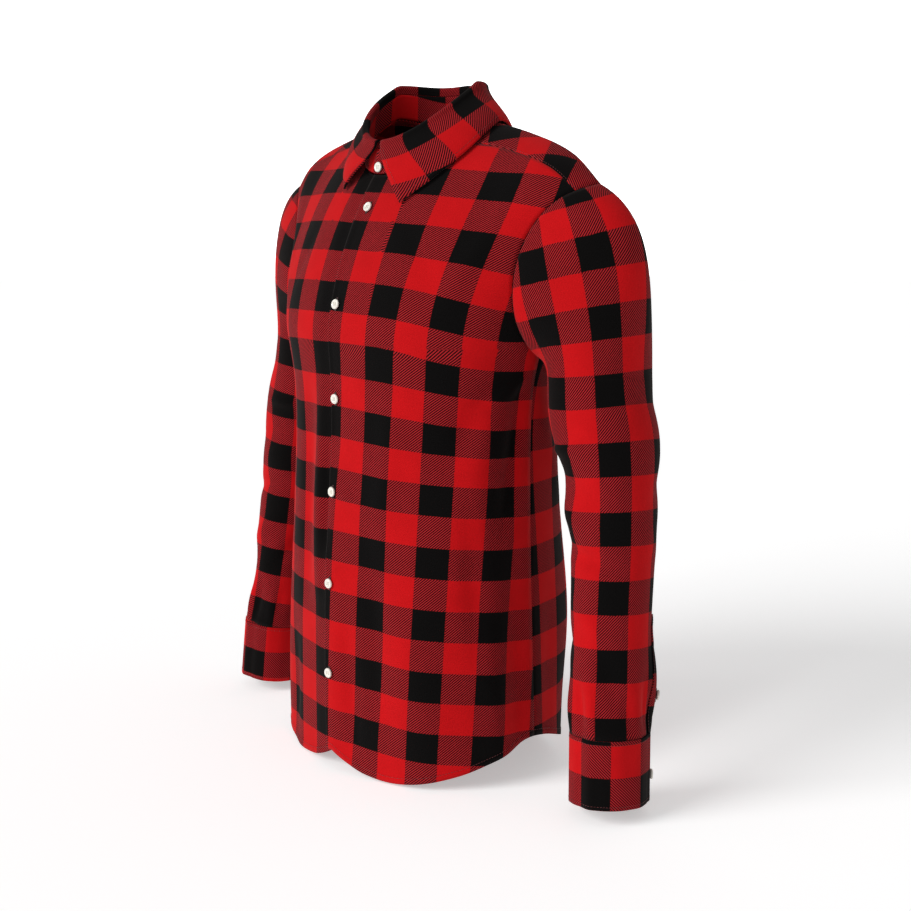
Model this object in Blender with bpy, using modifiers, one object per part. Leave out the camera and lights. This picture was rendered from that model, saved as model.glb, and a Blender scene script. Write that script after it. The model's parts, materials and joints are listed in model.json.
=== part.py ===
"""A man's flannel shirt, buttoned up and filled out as if worn, with nobody in it.

Metres, +Z up, the front faces -Y and the wearer's left is +X. The origin is in the middle of the
neck opening, at about the height of its two sides. The body is a table of level sections up to
the armpits and a vault over the shoulders above them. Every panel is a stretch of that one form,
so neighbours meet along shared seam lines. All the cloth is a thin wall round an open hollow.
"""

from bisect import bisect_right
from collections import namedtuple
from math import asin, cos, exp, pi, radians, sin, sqrt, tan

import bmesh
import bpy
from mathutils import Matrix, Vector

SHIRT = "flannel_shirt"

# Cloth, and the gaps at its seams and laps
WALL = 0.0015
SEAM_GAP = 0.0003
EDGE_GAP = 0.00022
LAP_STEP = WALL + 3 * SEAM_GAP

# Body: level sections from the hem to the armpits. half_width is to the side seam, front and back
# are the depths before and behind the centre, whose y is centre.
Section = namedtuple("Section", "z half_width front back centre")
SECTIONS = (
    Section(-0.760, 0.180, 0.144, 0.118, -0.002),
    Section(-0.660, 0.178, 0.143, 0.120, -0.002),
    Section(-0.560, 0.174, 0.142, 0.134, -0.002),
    Section(-0.450, 0.170, 0.140, 0.126, -0.002),
    Section(-0.350, 0.167, 0.138, 0.116, 0.000),
    Section(-0.290, 0.170, 0.138, 0.115, 0.000),
    Section(-0.240, 0.182, 0.141, 0.118, 0.000),
)
SECTION_POWER = 2.25
ARMPIT_Z = -0.240
LOWEST_Z = -0.740
QUARTER_LENGTH = 0.262

# Shoulders: the ridge over which the front turns into the back, from the middle out to the tip.
# From it the cloth runs out to the front and back by a share of the depth there and falls by drop.
# The first row is the second's neighbour on the other side, which keeps the middle smooth.
Ridge = namedtuple("Ridge", "out x y z front_run front_drop back_run back_drop")
RIDGE = (
    Ridge(-0.30, -0.070, 0.014, 0.006, 0.68, 0.043, 0.64, 0.006),
    Ridge(0.00, 0.000, 0.012, 0.026, 0.77, 0.080, 0.66, 0.002),
    Ridge(0.30, 0.070, 0.014, 0.006, 0.68, 0.043, 0.64, 0.006),
    Ridge(0.65, 0.152, 0.017, -0.014, 0.55, 0.022, 0.62, 0.012),
    Ridge(0.85, 0.206, 0.018, -0.034, 0.75, 0.014, 0.60, 0.012),
    Ridge(1.00, 0.246, 0.018, -0.066, 0.80, 0.010, 0.60, 0.010),
)
FRONT_RISE = 0.040
SIDE_RISE = 0.060
BACK_RISE = 0.125
TIP_FRONT = 0.045
TIP_BACK = 0.050
TIP_POWER = 3
SHOULDER_REACH = 0.95
SLOPE_STEP = 0.01

# Armhole: how far it is scooped out of the front and the back, in quarters of the way round
SCYE_FRONT = 0.17
SCYE_BACK = 0.13
SCYE_TURN = 0.42
SCYE_HEIGHT = 0.34

# Neck opening in plan, and the collar round it
NECK_HALF_WIDTH = 0.070
NECK_HALF_DEPTH = 0.0685
NECK_CENTRE_Y = -0.004
STAND_FRONT = 0.027
STAND_SIDE = 0.026
STAND_BACK = 0.038
STAND_LEAN = 0.12
STAND_LAP = 0.0095
COLLAR_BUTTON_UP = 0.27
STAND_END_ROUND = 0.012
ROLL_RISE = 0.006
ROLL_RADIUS = 0.0032
LEAF_BOW = 0.006
LEAF_BOW_RISE = 0.6
LEAF_BOW_PLACE = 0.35
LEAF_FALL_PULL = 0.2
LEAF_RIGHT_SHARE = 0.91
LEAF_RIGHT_TURN = 0.6
LAP_TURN_IN = 0.5
LAP_TURN_OUT = 0.05

# Edge of the collar leaf in plan, from the middle of the back to the point in front. The first row
# lies past the middle, which keeps it smooth.
LeafEdge = namedtuple("LeafEdge", "round x y lift")
LEAF_EDGE = (
    LeafEdge(-0.25, -0.070, 0.065, 0.004),
    LeafEdge(0.00, 0.000, 0.092, 0.004),
    LeafEdge(0.25, 0.070, 0.065, 0.004),
    LeafEdge(0.45, 0.100, 0.022, 0.004),
    LeafEdge(0.65, 0.104, -0.025, 0.004),
    LeafEdge(0.85, 0.082, -0.064, 0.004),
    LeafEdge(1.00, 0.054, -0.088, 0.004),
)

# Yoke
YOKE_FRONT_ANGLE = radians(72)
YOKE_FRONT_DROP = 0.028
YOKE_BACK_DROP = 0.060

# Front closure: each front runs past the middle by LAP
LAP = 0.0095
LAP_BLEND = 0.018
LAP_CLEAR = 0.004
FRONT_CROWD = 1.35
BUTTON_PITCH = 0.105
TOP_BUTTON_Z = -0.093

# Hem height round the body: the quarter way round, front middle 0, side seam 1, back middle 2
Hem = namedtuple("Hem", "quarter z")
HEM = (
    Hem(0.0, -0.711),
    Hem(0.1, -0.722),
    Hem(0.2, -0.729),
    Hem(0.4, -0.731),
    Hem(0.65, -0.717),
    Hem(0.85, -0.697),
    Hem(1.0, -0.683),
    Hem(1.3, -0.708),
    Hem(1.65, -0.730),
    Hem(2.0, -0.732),
)

# Sleeve: the middle line, with the radii to the side and fore and aft
Sleeve = namedtuple("Sleeve", "z x y side fore")
SLEEVE = (
    Sleeve(-0.645, 0.297, -0.008, 0.040, 0.042),
    Sleeve(-0.560, 0.286, 0.003, 0.041, 0.0435),
    Sleeve(-0.450, 0.277, 0.015, 0.0435, 0.0465),
    Sleeve(-0.385, 0.269, 0.021, 0.048, 0.052),
    Sleeve(-0.340, 0.258, 0.026, 0.053, 0.057),
    Sleeve(-0.305, 0.245, 0.028, 0.054, 0.058),
    Sleeve(-0.270, 0.240, 0.031, 0.052, 0.060),
)
CAP_SLOPE_TOP = radians(24)
CAP_SLOPE_LOW = radians(60)
CAP_PULL_TOP = 0.085
CAP_PULL_LOW = 0.024
CAP_PULL_END = 0.33
CAP_PUFF_FRONT = 0.15
CAP_PUFF_BACK = 0.55
ARM_INSIDE = Vector((0.20, 0.0, -0.15))
BICEP_Z = -0.270
WRIST_Z = -0.645
CUFF_HEIGHT = 0.074
CUFF_LAP_ANGLE = radians(-50)
CUFF_LAP = 0.022
CUFF_BUTTON_IN = 0.010
CUFF_BUTTON_UP = 0.027
PLACKET_LENGTH = 0.125
PLACKET_WIDTH = 0.024
PLACKET_POINT = 0.010
PLACKET_BUTTON_UP = 0.038
PLACKET_CLEAR = 0.0008
CUFF_GAP = 0.0009
PLACKET_ROWS = 8
PLACKET_COLUMNS = 4

# Buttons, 18 line
BUTTON_RADIUS = 0.0057
BUTTON_SIDES = 16
Ring = namedtuple("Ring", "radius height")
BUTTON_RINGS = (
    Ring(0.0, 0.0),
    Ring(0.0041, 0.0),
    Ring(BUTTON_RADIUS, 0.00135),
    Ring(0.0051, 0.0030),
    Ring(0.0035, 0.0024),
    Ring(0.0, 0.0024),
)
FRONT_BUTTONS = 6
BUTTON_GAP = 0.0005

# Grid of each piece
FRONT_NECK_COLUMNS = 4
FRONT_SHOULDER_COLUMNS = 6
FRONT_COLUMNS = FRONT_NECK_COLUMNS + FRONT_SHOULDER_COLUMNS
LOWER_ROWS = 16
UPPER_ROWS = 9
BACK_COLUMNS = 18
YOKE_ARM_FRONT = 2
YOKE_ARM_BACK = 4
SLEEVE_CAP_ROWS = 8
SLEEVE_ROWS = 16
CUFF_COLUMNS = 24
CUFF_ROWS = 3
COLLAR_COLUMNS = 32
STAND_ROWS = 2
LEAF_ROLL_ROWS = 4
LEAF_FALL_ROWS = 5
LEAF_ROWS = LEAF_ROLL_ROWS + LEAF_FALL_ROWS
LEAF_COLUMNS = COLLAR_COLUMNS - 2
LEAF_END = LEAF_COLUMNS / COLLAR_COLUMNS
YOKE_COLUMNS = 2 * (YOKE_ARM_FRONT + YOKE_ARM_BACK) + BACK_COLUMNS
ARM_COLUMNS = 2 * UPPER_ROWS + YOKE_ARM_FRONT + YOKE_ARM_BACK

# Places found by closing in on them
OVER_GUESS = 0.4
SEEK_TURNS = 40
SHARE_STEP = 0.005


def mix(a, b, share):
    """The value or point a share of the way from a to b."""
    return a + (b - a) * share


def ease(start, end, value):
    """0 before start, 1 after end and a soft step between them."""
    share = min(max((value - start) / (end - start), 0.0), 1.0)
    return share * share * (3 - 2 * share)


def along(rows, key, field, value):
    """A column of a table at a value of its key, on a smooth curve through the rows."""
    rows = sorted(rows, key=lambda row: getattr(row, key))
    keys = [getattr(row, key) for row in rows]
    fields = [getattr(row, field) for row in rows]
    last = len(rows) - 1

    def slope(index):
        low = max(index - 1, 0)
        high = min(index + 1, last)
        return (fields[high] - fields[low]) / (keys[high] - keys[low])

    index = min(max(bisect_right(keys, value) - 1, 0), last - 1)
    step = keys[index + 1] - keys[index]
    t = min(max((value - keys[index]) / step, 0.0), 1.0)
    rest = 1 - t
    return (rest * rest * (1 + 2 * t) * fields[index] + t * t * (3 - 2 * t) * fields[index + 1]
            + t * rest * rest * step * slope(index) - t * t * rest * step * slope(index + 1))


def bezier(a, b, c, d, t):
    """A point of the cubic curve with these four handles."""
    rest = 1 - t
    return rest ** 3 * a + 3 * rest * rest * t * b + 3 * rest * t * t * c + t ** 3 * d


# ---------------------------------------------------------------- the body's form


def section(quarter, z):
    """A point of the level section, quarter 0 in front, 1 at the left side, 2 at the back."""
    angle = quarter * pi / 2
    half_width = along(SECTIONS, "z", "half_width", z)
    depth = along(SECTIONS, "z", "front" if abs(quarter) <= 1 else "back", z)
    radius = (abs(sin(angle) / half_width) ** SECTION_POWER
              + abs(cos(angle) / depth) ** SECTION_POWER) ** (-1 / SECTION_POWER)
    return Vector((radius * sin(angle), along(SECTIONS, "z", "centre", z) - radius * cos(angle), z))


def vault(across, over):
    """A point of the shoulders. across runs from -1 at the right arm to 1 at the left, over from
    -1 at armpit height in front, through 0 on the ridge, to 1 at armpit height behind."""
    out = abs(across)
    side = -1 if across < 0 else 1
    front = over <= 0
    quarter = out if front else 2 - out
    base = section(quarter, ARMPIT_Z)
    up = (base - section(quarter, ARMPIT_Z - SLOPE_STEP)) / SLOPE_STEP
    ridge = Vector([along(RIDGE, "out", axis, out) for axis in "xyz"])
    facing = "front_" if front else "back_"
    run = along(RIDGE, "out", facing + "run", out)
    drop = along(RIDGE, "out", facing + "drop", out)
    rise = mix(FRONT_RISE if front else BACK_RISE, SIDE_RISE, out)
    low = base + up * rise
    tip = (-TIP_FRONT if front else TIP_BACK) * out ** TIP_POWER
    high_x = mix(base.x, ridge.x, SHOULDER_REACH)
    high = Vector((high_x, mix(ridge.y, base.y, run) + tip, ridge.z - drop))
    point = bezier(base, low, high, ridge, 1 - abs(over))
    return Vector((side * point.x, point.y, point.z))


def vault_place(x, y):
    """Where on the vault, as across and over, the point above this place in plan is."""
    across = x / RIDGE[-1].x
    over = -OVER_GUESS if y < 0 else OVER_GUESS
    step = 1e-4
    for _ in range(SEEK_TURNS):
        here = vault(across, over)
        to_side = (vault(across + step, over) - here) / step
        to_back = (vault(across, over + step) - here) / step
        miss_x = x - here.x
        miss_y = y - here.y
        area = to_side.x * to_back.y - to_back.x * to_side.y
        across += (miss_x * to_back.y - miss_y * to_back.x) / area
        over += (miss_y * to_side.x - miss_x * to_side.y) / area
        over = min(max(over, -1.0), 1.0)
    return Vector((across, over))


def form(across, over):
    """A point of the whole body: the vault, and below armpit height the sections. over goes on
    past -1 and 1 as the share of the way from the armpits down to LOWEST_Z."""
    if abs(over) <= 1:
        return vault(across, over)
    z = mix(ARMPIT_Z, LOWEST_Z, abs(over) - 1)
    side = -1 if across < 0 else 1
    quarter = abs(across) if over < 0 else 2 - abs(across)
    point = section(quarter, z)
    return Vector((side * point.x, point.y, point.z))


def form_normal(across, over):
    """The direction straight out of the body's form."""
    step = 1e-3
    to_side = form(across + step, over) - form(across - step, over)
    to_back = form(across, over + step) - form(across, over - step)
    return to_side.cross(to_back).normalized()


def scye(share, front):
    """The armhole's edge on the left, from the side seam at 0 to the shoulder tip at 1."""
    depth = SCYE_FRONT if front else SCYE_BACK
    if share < SCYE_TURN:
        angle = share / SCYE_TURN * pi / 2
        up = SCYE_HEIGHT * (1 - cos(angle))
        scoop = depth * sin(angle)
    else:
        up = mix(SCYE_HEIGHT, 1.0, (share - SCYE_TURN) / (1 - SCYE_TURN))
        scoop = depth * (1 - ease(SCYE_TURN, 1.0, share))
    return Vector((1 - scoop, up - 1 if front else 1 - up))


def share_below_tip(front, drop):
    """How far up the armhole's edge the point lies that is drop below the shoulder tip."""
    share = 1.0
    length = 0.0
    here = vault(*scye(share, front))
    while length < drop:
        share -= SHARE_STEP
        there = vault(*scye(share, front))
        length += (there - here).length
        here = there
    return share


FRONT_SHARE = share_below_tip(True, YOKE_FRONT_DROP)
BACK_SHARE = share_below_tip(False, YOKE_BACK_DROP)


def neck_place(angle):
    """The neck seam, as a place on the vault, angle 0 in front and pi behind."""
    return vault_place(NECK_HALF_WIDTH * sin(angle), NECK_CENTRE_Y - NECK_HALF_DEPTH * cos(angle))


def lap_across(side_x, z):
    """The across value of a point so far beside the middle of the front at this height."""
    depth = along(SECTIONS, "z", "front", max(z, SECTIONS[0].z))
    return asin(side_x / depth) / (pi / 2)


NECK_LAP_ANGLE = asin(LAP / NECK_HALF_DEPTH)


def yoke_front_seam(share):
    """The front edge of the yoke on the left, from the neck to the armhole."""
    return mix(neck_place(YOKE_FRONT_ANGLE), scye(FRONT_SHARE, True), share)


def yoke_back_seam(share):
    """The back edge of the yoke, level from the left armhole at 0 to the right one at 1."""
    end = scye(BACK_SHARE, False)
    across = end.x * (1 - 2 * share)
    level = vault(*end).z
    high = 0.0
    low = 1.0
    for _ in range(SEEK_TURNS):
        over = (high + low) / 2
        if vault(across, over).z > level:
            high = over
        else:
            low = over
    return Vector((across, low))


# ---------------------------------------------------------------- folds

# Each fold runs from one place to another and swells out by height, or sinks in where it is
# negative. On the body a place is across and z, on a sleeve its angle in degrees and z.
Fold = namedtuple("Fold", "across z to_across to_z width height")
BODY_FOLDS = (
    Fold(-0.13, -0.30, -0.15, -0.52, 0.016, 0.005),
    Fold(-0.26, -0.30, -0.27, -0.54, 0.018, -0.005),
    Fold(0.86, -0.26, 0.62, -0.36, 0.016, -0.004),
    Fold(0.80, -0.28, 0.70, -0.46, 0.020, 0.004),
    Fold(-0.01, -0.40, -0.01, -0.80, 0.030, 0.008),
    Fold(0.45, -0.52, 0.52, -0.76, 0.026, 0.004),
    Fold(-0.86, -0.26, -0.62, -0.36, 0.016, -0.004),
    Fold(-0.55, -0.50, -0.60, -0.76, 0.026, 0.004),
)
FOLD_END = 0.12
SLEEVE_FOLDS = (
    Fold(-50, -0.555, -50, -0.630, 0.016, 0.007),
    Fold(-95, -0.560, -88, -0.640, 0.010, 0.005),
    Fold(150, -0.360, 60, -0.400, 0.014, -0.004),
    Fold(160, -0.400, 80, -0.430, 0.014, 0.004),
    Fold(165, -0.590, 150, -0.640, 0.014, 0.004),
    Fold(52, -0.555, 40, -0.625, 0.016, -0.006),
)
SLEEVE_FIRST_DEGREE = -100
DEGREE_LENGTH = 0.043 * pi / 180


def fold_height(folds, across, z, unit):
    """How far the folds together move the cloth at a place. unit is the length of 1 across."""
    total = 0.0
    place = Vector((across * unit, z))
    for fold in folds:
        start = Vector((fold.across * unit, fold.z))
        run = Vector((fold.to_across * unit, fold.to_z)) - start
        share = min(max((place - start).dot(run) / run.length_squared, 0.0), 1.0)
        apart = (place - start - run * share).length / fold.width
        total += fold.height * sin(pi * (FOLD_END + (1 - 2 * FOLD_END) * share)) * exp(-apart * apart)
    return total


def body_point(across, over, lift=0.0):
    """A point of the body's cloth, folds included, lift outside its middle layer."""
    point = form(across, over)
    height = lift
    if over < 0:
        height += fold_height(BODY_FOLDS, across, point.z, QUARTER_LENGTH)
    return point + form_normal(across, over) * height


# ---------------------------------------------------------------- panels


def hem_over(quarter):
    """How far down, as over without its sign, the hem is at this quarter."""
    return 1 + (ARMPIT_Z - along(HEM, "quarter", "z", quarter)) / (ARMPIT_Z - LOWEST_Z)


def coons(bottom, top, left, right, s, t, rise):
    """A place inside four edges, each a function of the share along it. rise is how far t takes it
    from the bottom edge to the top one."""
    ruled = mix(bottom(s), top(s), rise) + mix(left(t), right(t), s)
    corners = mix(mix(bottom(0), bottom(1), s), mix(top(0), top(1), s), rise)
    return ruled - corners


def front_place(s, t):
    """A place of the left front, s from its free edge to the side seam and armhole, t from the
    hem to the neck and shoulder."""
    edge = lap_across(-LAP, ARMPIT_Z)
    across = mix(edge, 1.0, s ** FRONT_CROWD)
    waist = LOWER_ROWS / (LOWER_ROWS + UPPER_ROWS)
    if t <= waist:
        low = hem_over(across)
        return Vector((across, -mix(low, 1.0, t / waist)))
    turn = FRONT_NECK_COLUMNS / FRONT_COLUMNS
    neck_edge = neck_place(-NECK_LAP_ANGLE)

    def bottom(share):
        return Vector((mix(edge, 1.0, share ** FRONT_CROWD), -1.0))

    def top(share):
        if share <= turn:
            return neck_place(mix(-NECK_LAP_ANGLE, YOKE_FRONT_ANGLE, share / turn))
        return yoke_front_seam((share - turn) / (1 - turn))

    def left(share):
        return mix(Vector((edge, -1.0)), neck_edge, share)

    def right(share):
        return scye(share * FRONT_SHARE, True)

    share = (t - waist) / (1 - waist)
    return coons(bottom, top, left, right, s, share, share)


BUTTON_LINE_S = (LAP / (LAP + QUARTER_LENGTH)) ** (1 / FRONT_CROWD)


def front_left(s, t):
    """The left front, which laps over the right one."""
    place = front_place(s, t)
    return body_point(place.x, place.y)


def front_right(s, t):
    """The right front, whose edge lies one step in, under the left one."""
    place = front_place(s, t)
    plain = body_point(-place.x, place.y)
    tuck = LAP_STEP * ease(-LAP - LAP_CLEAR - LAP_BLEND, -LAP - LAP_CLEAR, plain.x)
    return plain - form_normal(-place.x, place.y) * tuck


def back(s, t):
    """The back, s from the left side seam to the right one."""
    across = 1 - 2 * s
    waist = LOWER_ROWS / (LOWER_ROWS + UPPER_ROWS)
    if t <= waist:
        low = hem_over(2 - abs(across))
        return body_point(across, mix(low, 1.0, t / waist))
    share = (t - waist) / (1 - waist)

    def bottom(part):
        return Vector((1 - 2 * part, 1.0))

    def left(part):
        return scye(part * BACK_SHARE, False)

    def right(part):
        edge = scye(part * BACK_SHARE, False)
        return Vector((-edge.x, edge.y))

    rise = (1 - left(share).y) / (1 - left(1).y)
    return body_point(*coons(bottom, yoke_back_seam, left, right, s, share, rise))


def yoke_outer(column):
    """The yoke's outer edge by column: over the left arm, along the back, over the right arm."""
    arm = YOKE_ARM_FRONT + YOKE_ARM_BACK
    if column > YOKE_COLUMNS / 2:
        mirrored = yoke_outer(YOKE_COLUMNS - column)
        return Vector((-mirrored.x, mirrored.y))
    if column <= YOKE_ARM_FRONT:
        return scye(mix(FRONT_SHARE, 1.0, column / YOKE_ARM_FRONT), True)
    if column <= arm:
        return scye(mix(1.0, BACK_SHARE, (column - YOKE_ARM_FRONT) / YOKE_ARM_BACK), False)
    return yoke_back_seam((column - arm) / BACK_COLUMNS)


def yoke(s, t):
    """The yoke, s from its left front edge round the back to its right one, t from the neck out."""
    inner = neck_place(mix(YOKE_FRONT_ANGLE, 2 * pi - YOKE_FRONT_ANGLE, s))
    outer = yoke_outer(s * YOKE_COLUMNS)
    return body_point(*mix(inner, outer, t))


# ---------------------------------------------------------------- sleeves


def sleeve_axis(z):
    """The middle of the sleeve at a height, with its two radii."""
    middle = Vector((along(SLEEVE, "z", "x", z), along(SLEEVE, "z", "y", z), z))
    return middle, along(SLEEVE, "z", "side", z), along(SLEEVE, "z", "fore", z)


def sleeve_ring(z, angle, lift=0.0):
    """A point lift outside the sleeve's middle layer, angle 0 outward, 90 degrees in front and
    180 against the body, and the way the sleeve runs down there."""
    middle, side, fore = sleeve_axis(z)
    step = 0.004
    down = (sleeve_axis(z - step)[0] - sleeve_axis(z + step)[0]).normalized()
    outward = (Vector((1, 0, 0)) - down * down.x).normalized()
    forward = down.cross(outward)
    reach = outward * side * cos(angle) + forward * fore * sin(angle)
    degrees = (angle * 180 / pi - SLEEVE_FIRST_DEGREE) % 360 + SLEEVE_FIRST_DEGREE
    lift += fold_height(SLEEVE_FOLDS, degrees, z, DEGREE_LENGTH)
    return middle + reach + reach.normalized() * lift, down


def arm_place(column):
    """The armhole's edge by column, from the side seam up the front and down the back."""
    column = column % ARM_COLUMNS
    if column <= UPPER_ROWS:
        return scye(column / UPPER_ROWS * FRONT_SHARE, True)
    column -= UPPER_ROWS
    if column <= YOKE_ARM_FRONT:
        return scye(mix(FRONT_SHARE, 1.0, column / YOKE_ARM_FRONT), True)
    column -= YOKE_ARM_FRONT
    if column <= YOKE_ARM_BACK:
        return scye(mix(1.0, BACK_SHARE, column / YOKE_ARM_BACK), False)
    column -= YOKE_ARM_BACK
    return scye((1 - column / UPPER_ROWS) * BACK_SHARE, False)


def arm_shares():
    """The share of the armhole's length that lies before each column, from the side seam."""
    points = [vault(*arm_place(column)) for column in range(ARM_COLUMNS)]
    lengths = [0.0]
    for column in range(ARM_COLUMNS):
        lengths.append(lengths[-1] + (points[(column + 1) % ARM_COLUMNS] - points[column]).length)
    return [length / lengths[-1] for length in lengths]


ARM_SHARES = arm_shares()


def cap_start(column):
    """Where and in which direction the sleeve leaves the armhole at this column."""
    place = arm_place(column)
    near = 0.2
    edge = vault(*place)
    before = vault(*arm_place(column - near if column > 0 else ARM_COLUMNS - near))
    after = vault(*arm_place(column + near))
    outward = form_normal(*place).cross((after - before).normalized())
    if outward.dot(ARM_INSIDE - edge) < 0:
        outward = -outward
    angle = 2 * pi * ARM_SHARES[column]
    low = (1 + cos(angle)) / 2
    slope = mix(CAP_SLOPE_TOP, CAP_SLOPE_LOW, low)
    puff = CAP_PUFF_FRONT if sin(angle) > 0 else CAP_PUFF_BACK
    leave = Vector((cos(slope), -puff * sin(angle), -sin(slope))).normalized()
    half_turn = outward.angle(leave) / 2
    apart = WALL / 2 * tan(half_turn) + SEAM_GAP / cos(half_turn)
    return edge + (outward + leave) * apart, leave, low


def sleeve_left(s, t):
    """The left sleeve, s round it from the seam under the arm, t from the armhole to the cuff."""
    column = round(s * ARM_COLUMNS) % ARM_COLUMNS
    angle = pi - 2 * pi * ARM_SHARES[column]
    start, leave, low = cap_start(column)
    cap = SLEEVE_CAP_ROWS / (SLEEVE_CAP_ROWS + SLEEVE_ROWS)
    if t >= cap:
        z = mix(BICEP_Z, WRIST_Z, (t - cap) / (1 - cap))
        return sleeve_ring(z, angle)[0]
    end, down = sleeve_ring(BICEP_Z, angle)
    span = (end - start).length
    pull_out = mix(CAP_PULL_TOP, CAP_PULL_LOW, low)
    share = t / cap
    return bezier(start, start + leave * pull_out, end - down * span * CAP_PULL_END, end, share)


def cuff_left(s, t):
    """The left cuff, a band whose outer end laps over its inner one, t from its top to its end."""
    middle, side, _ = sleeve_axis(WRIST_Z)
    lap_angle = CUFF_LAP / side
    angle = CUFF_LAP_ANGLE + mix(-lap_angle / 2, 2 * pi + lap_angle / 2, s)
    point, down = sleeve_ring(WRIST_Z, angle, LAP_STEP * (0.5 - ease(0.0, 1.0, s)))
    return point + down * (CUFF_GAP + CUFF_HEIGHT * t)


def placket_left(s, t):
    """The pointed strip that finishes the slit of the left sleeve, t from the cuff up."""
    z = WRIST_Z + SEAM_GAP + t * (PLACKET_LENGTH - PLACKET_POINT * abs(2 * s - 1))
    half_angle = PLACKET_WIDTH / 2 / along(SLEEVE, "z", "fore", WRIST_Z)
    angle = CUFF_LAP_ANGLE + mix(-half_angle, half_angle, s)
    return sleeve_ring(z, angle, WALL + PLACKET_CLEAR)[0]


# ---------------------------------------------------------------- collar


def collar_angle(turn):
    """The neck angle for a turn from -1 at the right end, through 0 behind, to 1 at the left."""
    lap = STAND_LAP / NECK_HALF_DEPTH
    return pi - turn * (pi + lap)


def stand_edge(turn):
    """Foot, direction and height of the collar stand at this turn."""
    angle = collar_angle(turn)
    place = neck_place(angle)
    foot = vault(*place)
    outward = Vector((sin(angle) * NECK_HALF_DEPTH, -cos(angle) * NECK_HALF_WIDTH, 0)).normalized()
    rise = (Vector((0, 0, 1)) - outward * STAND_LEAN).normalized()
    height = mix(STAND_SIDE, STAND_FRONT if cos(angle) > 0 else STAND_BACK, cos(angle) ** 2)
    lapped = ease(pi - LAP_TURN_IN, pi + LAP_TURN_OUT, abs(angle - pi))
    shift = outward * (LAP_STEP / 2 * (1 if turn > 0 else -1) * lapped)
    return foot + shift + rise * (WALL + SEAM_GAP), rise, height, outward


def collar_stand(s, t):
    """The collar stand, s from its right end under the lap to its left one, t from foot to top."""
    turn = 2 * s - 1
    foot, rise, height, _ = stand_edge(turn)
    past_end = (1 - abs(turn)) * pi * NECK_HALF_DEPTH
    inward = max(STAND_END_ROUND - past_end, 0.0)
    corner = STAND_END_ROUND - sqrt(STAND_END_ROUND ** 2 - inward ** 2)
    return foot + rise * (height - corner) * t


def leaf_edge(turn):
    """The free edge of the collar leaf, over the shoulders."""
    around = abs(turn)
    side = -1 if turn < 0 else 1
    reach = mix(1.0, LEAF_RIGHT_SHARE, ease(0.0, LEAF_RIGHT_TURN, -turn))
    x = along(LEAF_EDGE, "round", "x", around) * reach
    y = along(LEAF_EDGE, "round", "y", around) * reach
    place = vault_place(x, y)
    point = vault(*place) + form_normal(*place) * along(LEAF_EDGE, "round", "lift", around)
    return Vector((side * point.x, point.y, point.z))


def collar_leaf(s, t):
    """The collar leaf, s from the right point to the left one, t from the stand over the roll."""
    turn = 2 * s - 1
    foot, rise, height, outward = stand_edge(turn * LEAF_END)
    start = foot + rise * (height + SEAM_GAP)
    centre = start + rise * ROLL_RISE + outward * ROLL_RADIUS
    rolled = LEAF_ROLL_ROWS / LEAF_ROWS
    if t <= rolled:
        row = t / rolled * LEAF_ROLL_ROWS
        if row < 1:
            return mix(start, start + rise * ROLL_RISE, row)
        angle = pi * (row - 1) / (LEAF_ROLL_ROWS - 1)
        return centre - outward * ROLL_RADIUS * cos(angle) + rise * ROLL_RADIUS * sin(angle)
    share = (t - rolled) / (1 - rolled)
    begin = centre + outward * ROLL_RADIUS
    end = leaf_edge(turn)
    span = (end - begin).length
    bow = (outward + Vector((0, 0, LEAF_BOW_RISE))) * LEAF_BOW
    low = mix(end, begin, LEAF_BOW_PLACE) + bow
    return bezier(begin, begin - rise * span * LEAF_FALL_PULL, low, end, share)


# ---------------------------------------------------------------- making the solids


def paint(name, colour, roughness):
    """A plain material."""
    material = bpy.data.materials.new(name)
    material.use_nodes = True
    shader = material.node_tree.nodes["Principled BSDF"]
    shader.inputs["Base Color"].default_value = (*colour, 1.0)
    shader.inputs["Roughness"].default_value = roughness
    shader.inputs["Metallic"].default_value = 0.0
    material.diffuse_color = (*colour, 1.0)
    return material


def add_object(name, mesh, material, collection):
    """Link a mesh as one named piece of the shirt."""
    piece = bpy.data.objects.new(name, mesh)
    mesh.materials.append(material)
    collection.objects.link(piece)
    return piece


def add_sheet(name, place, columns, rows, seams, material, collection, wall=WALL):
    """A sheet of cloth: a grid moved to place(s, t) and thickened. seams names the edges, of
    left, right, bottom and top, that stop half a seam gap short of a neighbour."""
    shape = bmesh.new()
    bmesh.ops.create_grid(shape, x_segments=columns, y_segments=rows, size=0.5)
    steps = {"left": (0.0, None, 1 / columns, 0), "right": (1.0, None, -1 / columns, 0),
             "bottom": (None, 0.0, 0, 1 / rows), "top": (None, 1.0, 0, -1 / rows)}
    for vertex in shape.verts:
        s = round((vertex.co.x + 0.5) * columns) / columns
        t = round((vertex.co.y + 0.5) * rows) / rows
        point = place(s, t)
        moved = point.copy()
        for seam in seams:
            edge_s, edge_t, step_s, step_t = steps[seam]
            if s == edge_s or t == edge_t:
                inner = place(s + step_s, t + step_t)
                moved += (inner - point).normalized() * EDGE_GAP
        vertex.co = moved
    bmesh.ops.remove_doubles(shape, verts=shape.verts, dist=1e-6)
    bmesh.ops.recalc_face_normals(shape, faces=shape.faces)
    mesh = bpy.data.meshes.new(name)
    shape.to_mesh(mesh)
    shape.free()
    mesh.shade_smooth()
    piece = add_object(name, mesh, material, collection)
    thicken = piece.modifiers.new("wall", "SOLIDIFY")
    thicken.thickness = wall
    thicken.offset = 0
    return piece


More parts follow.
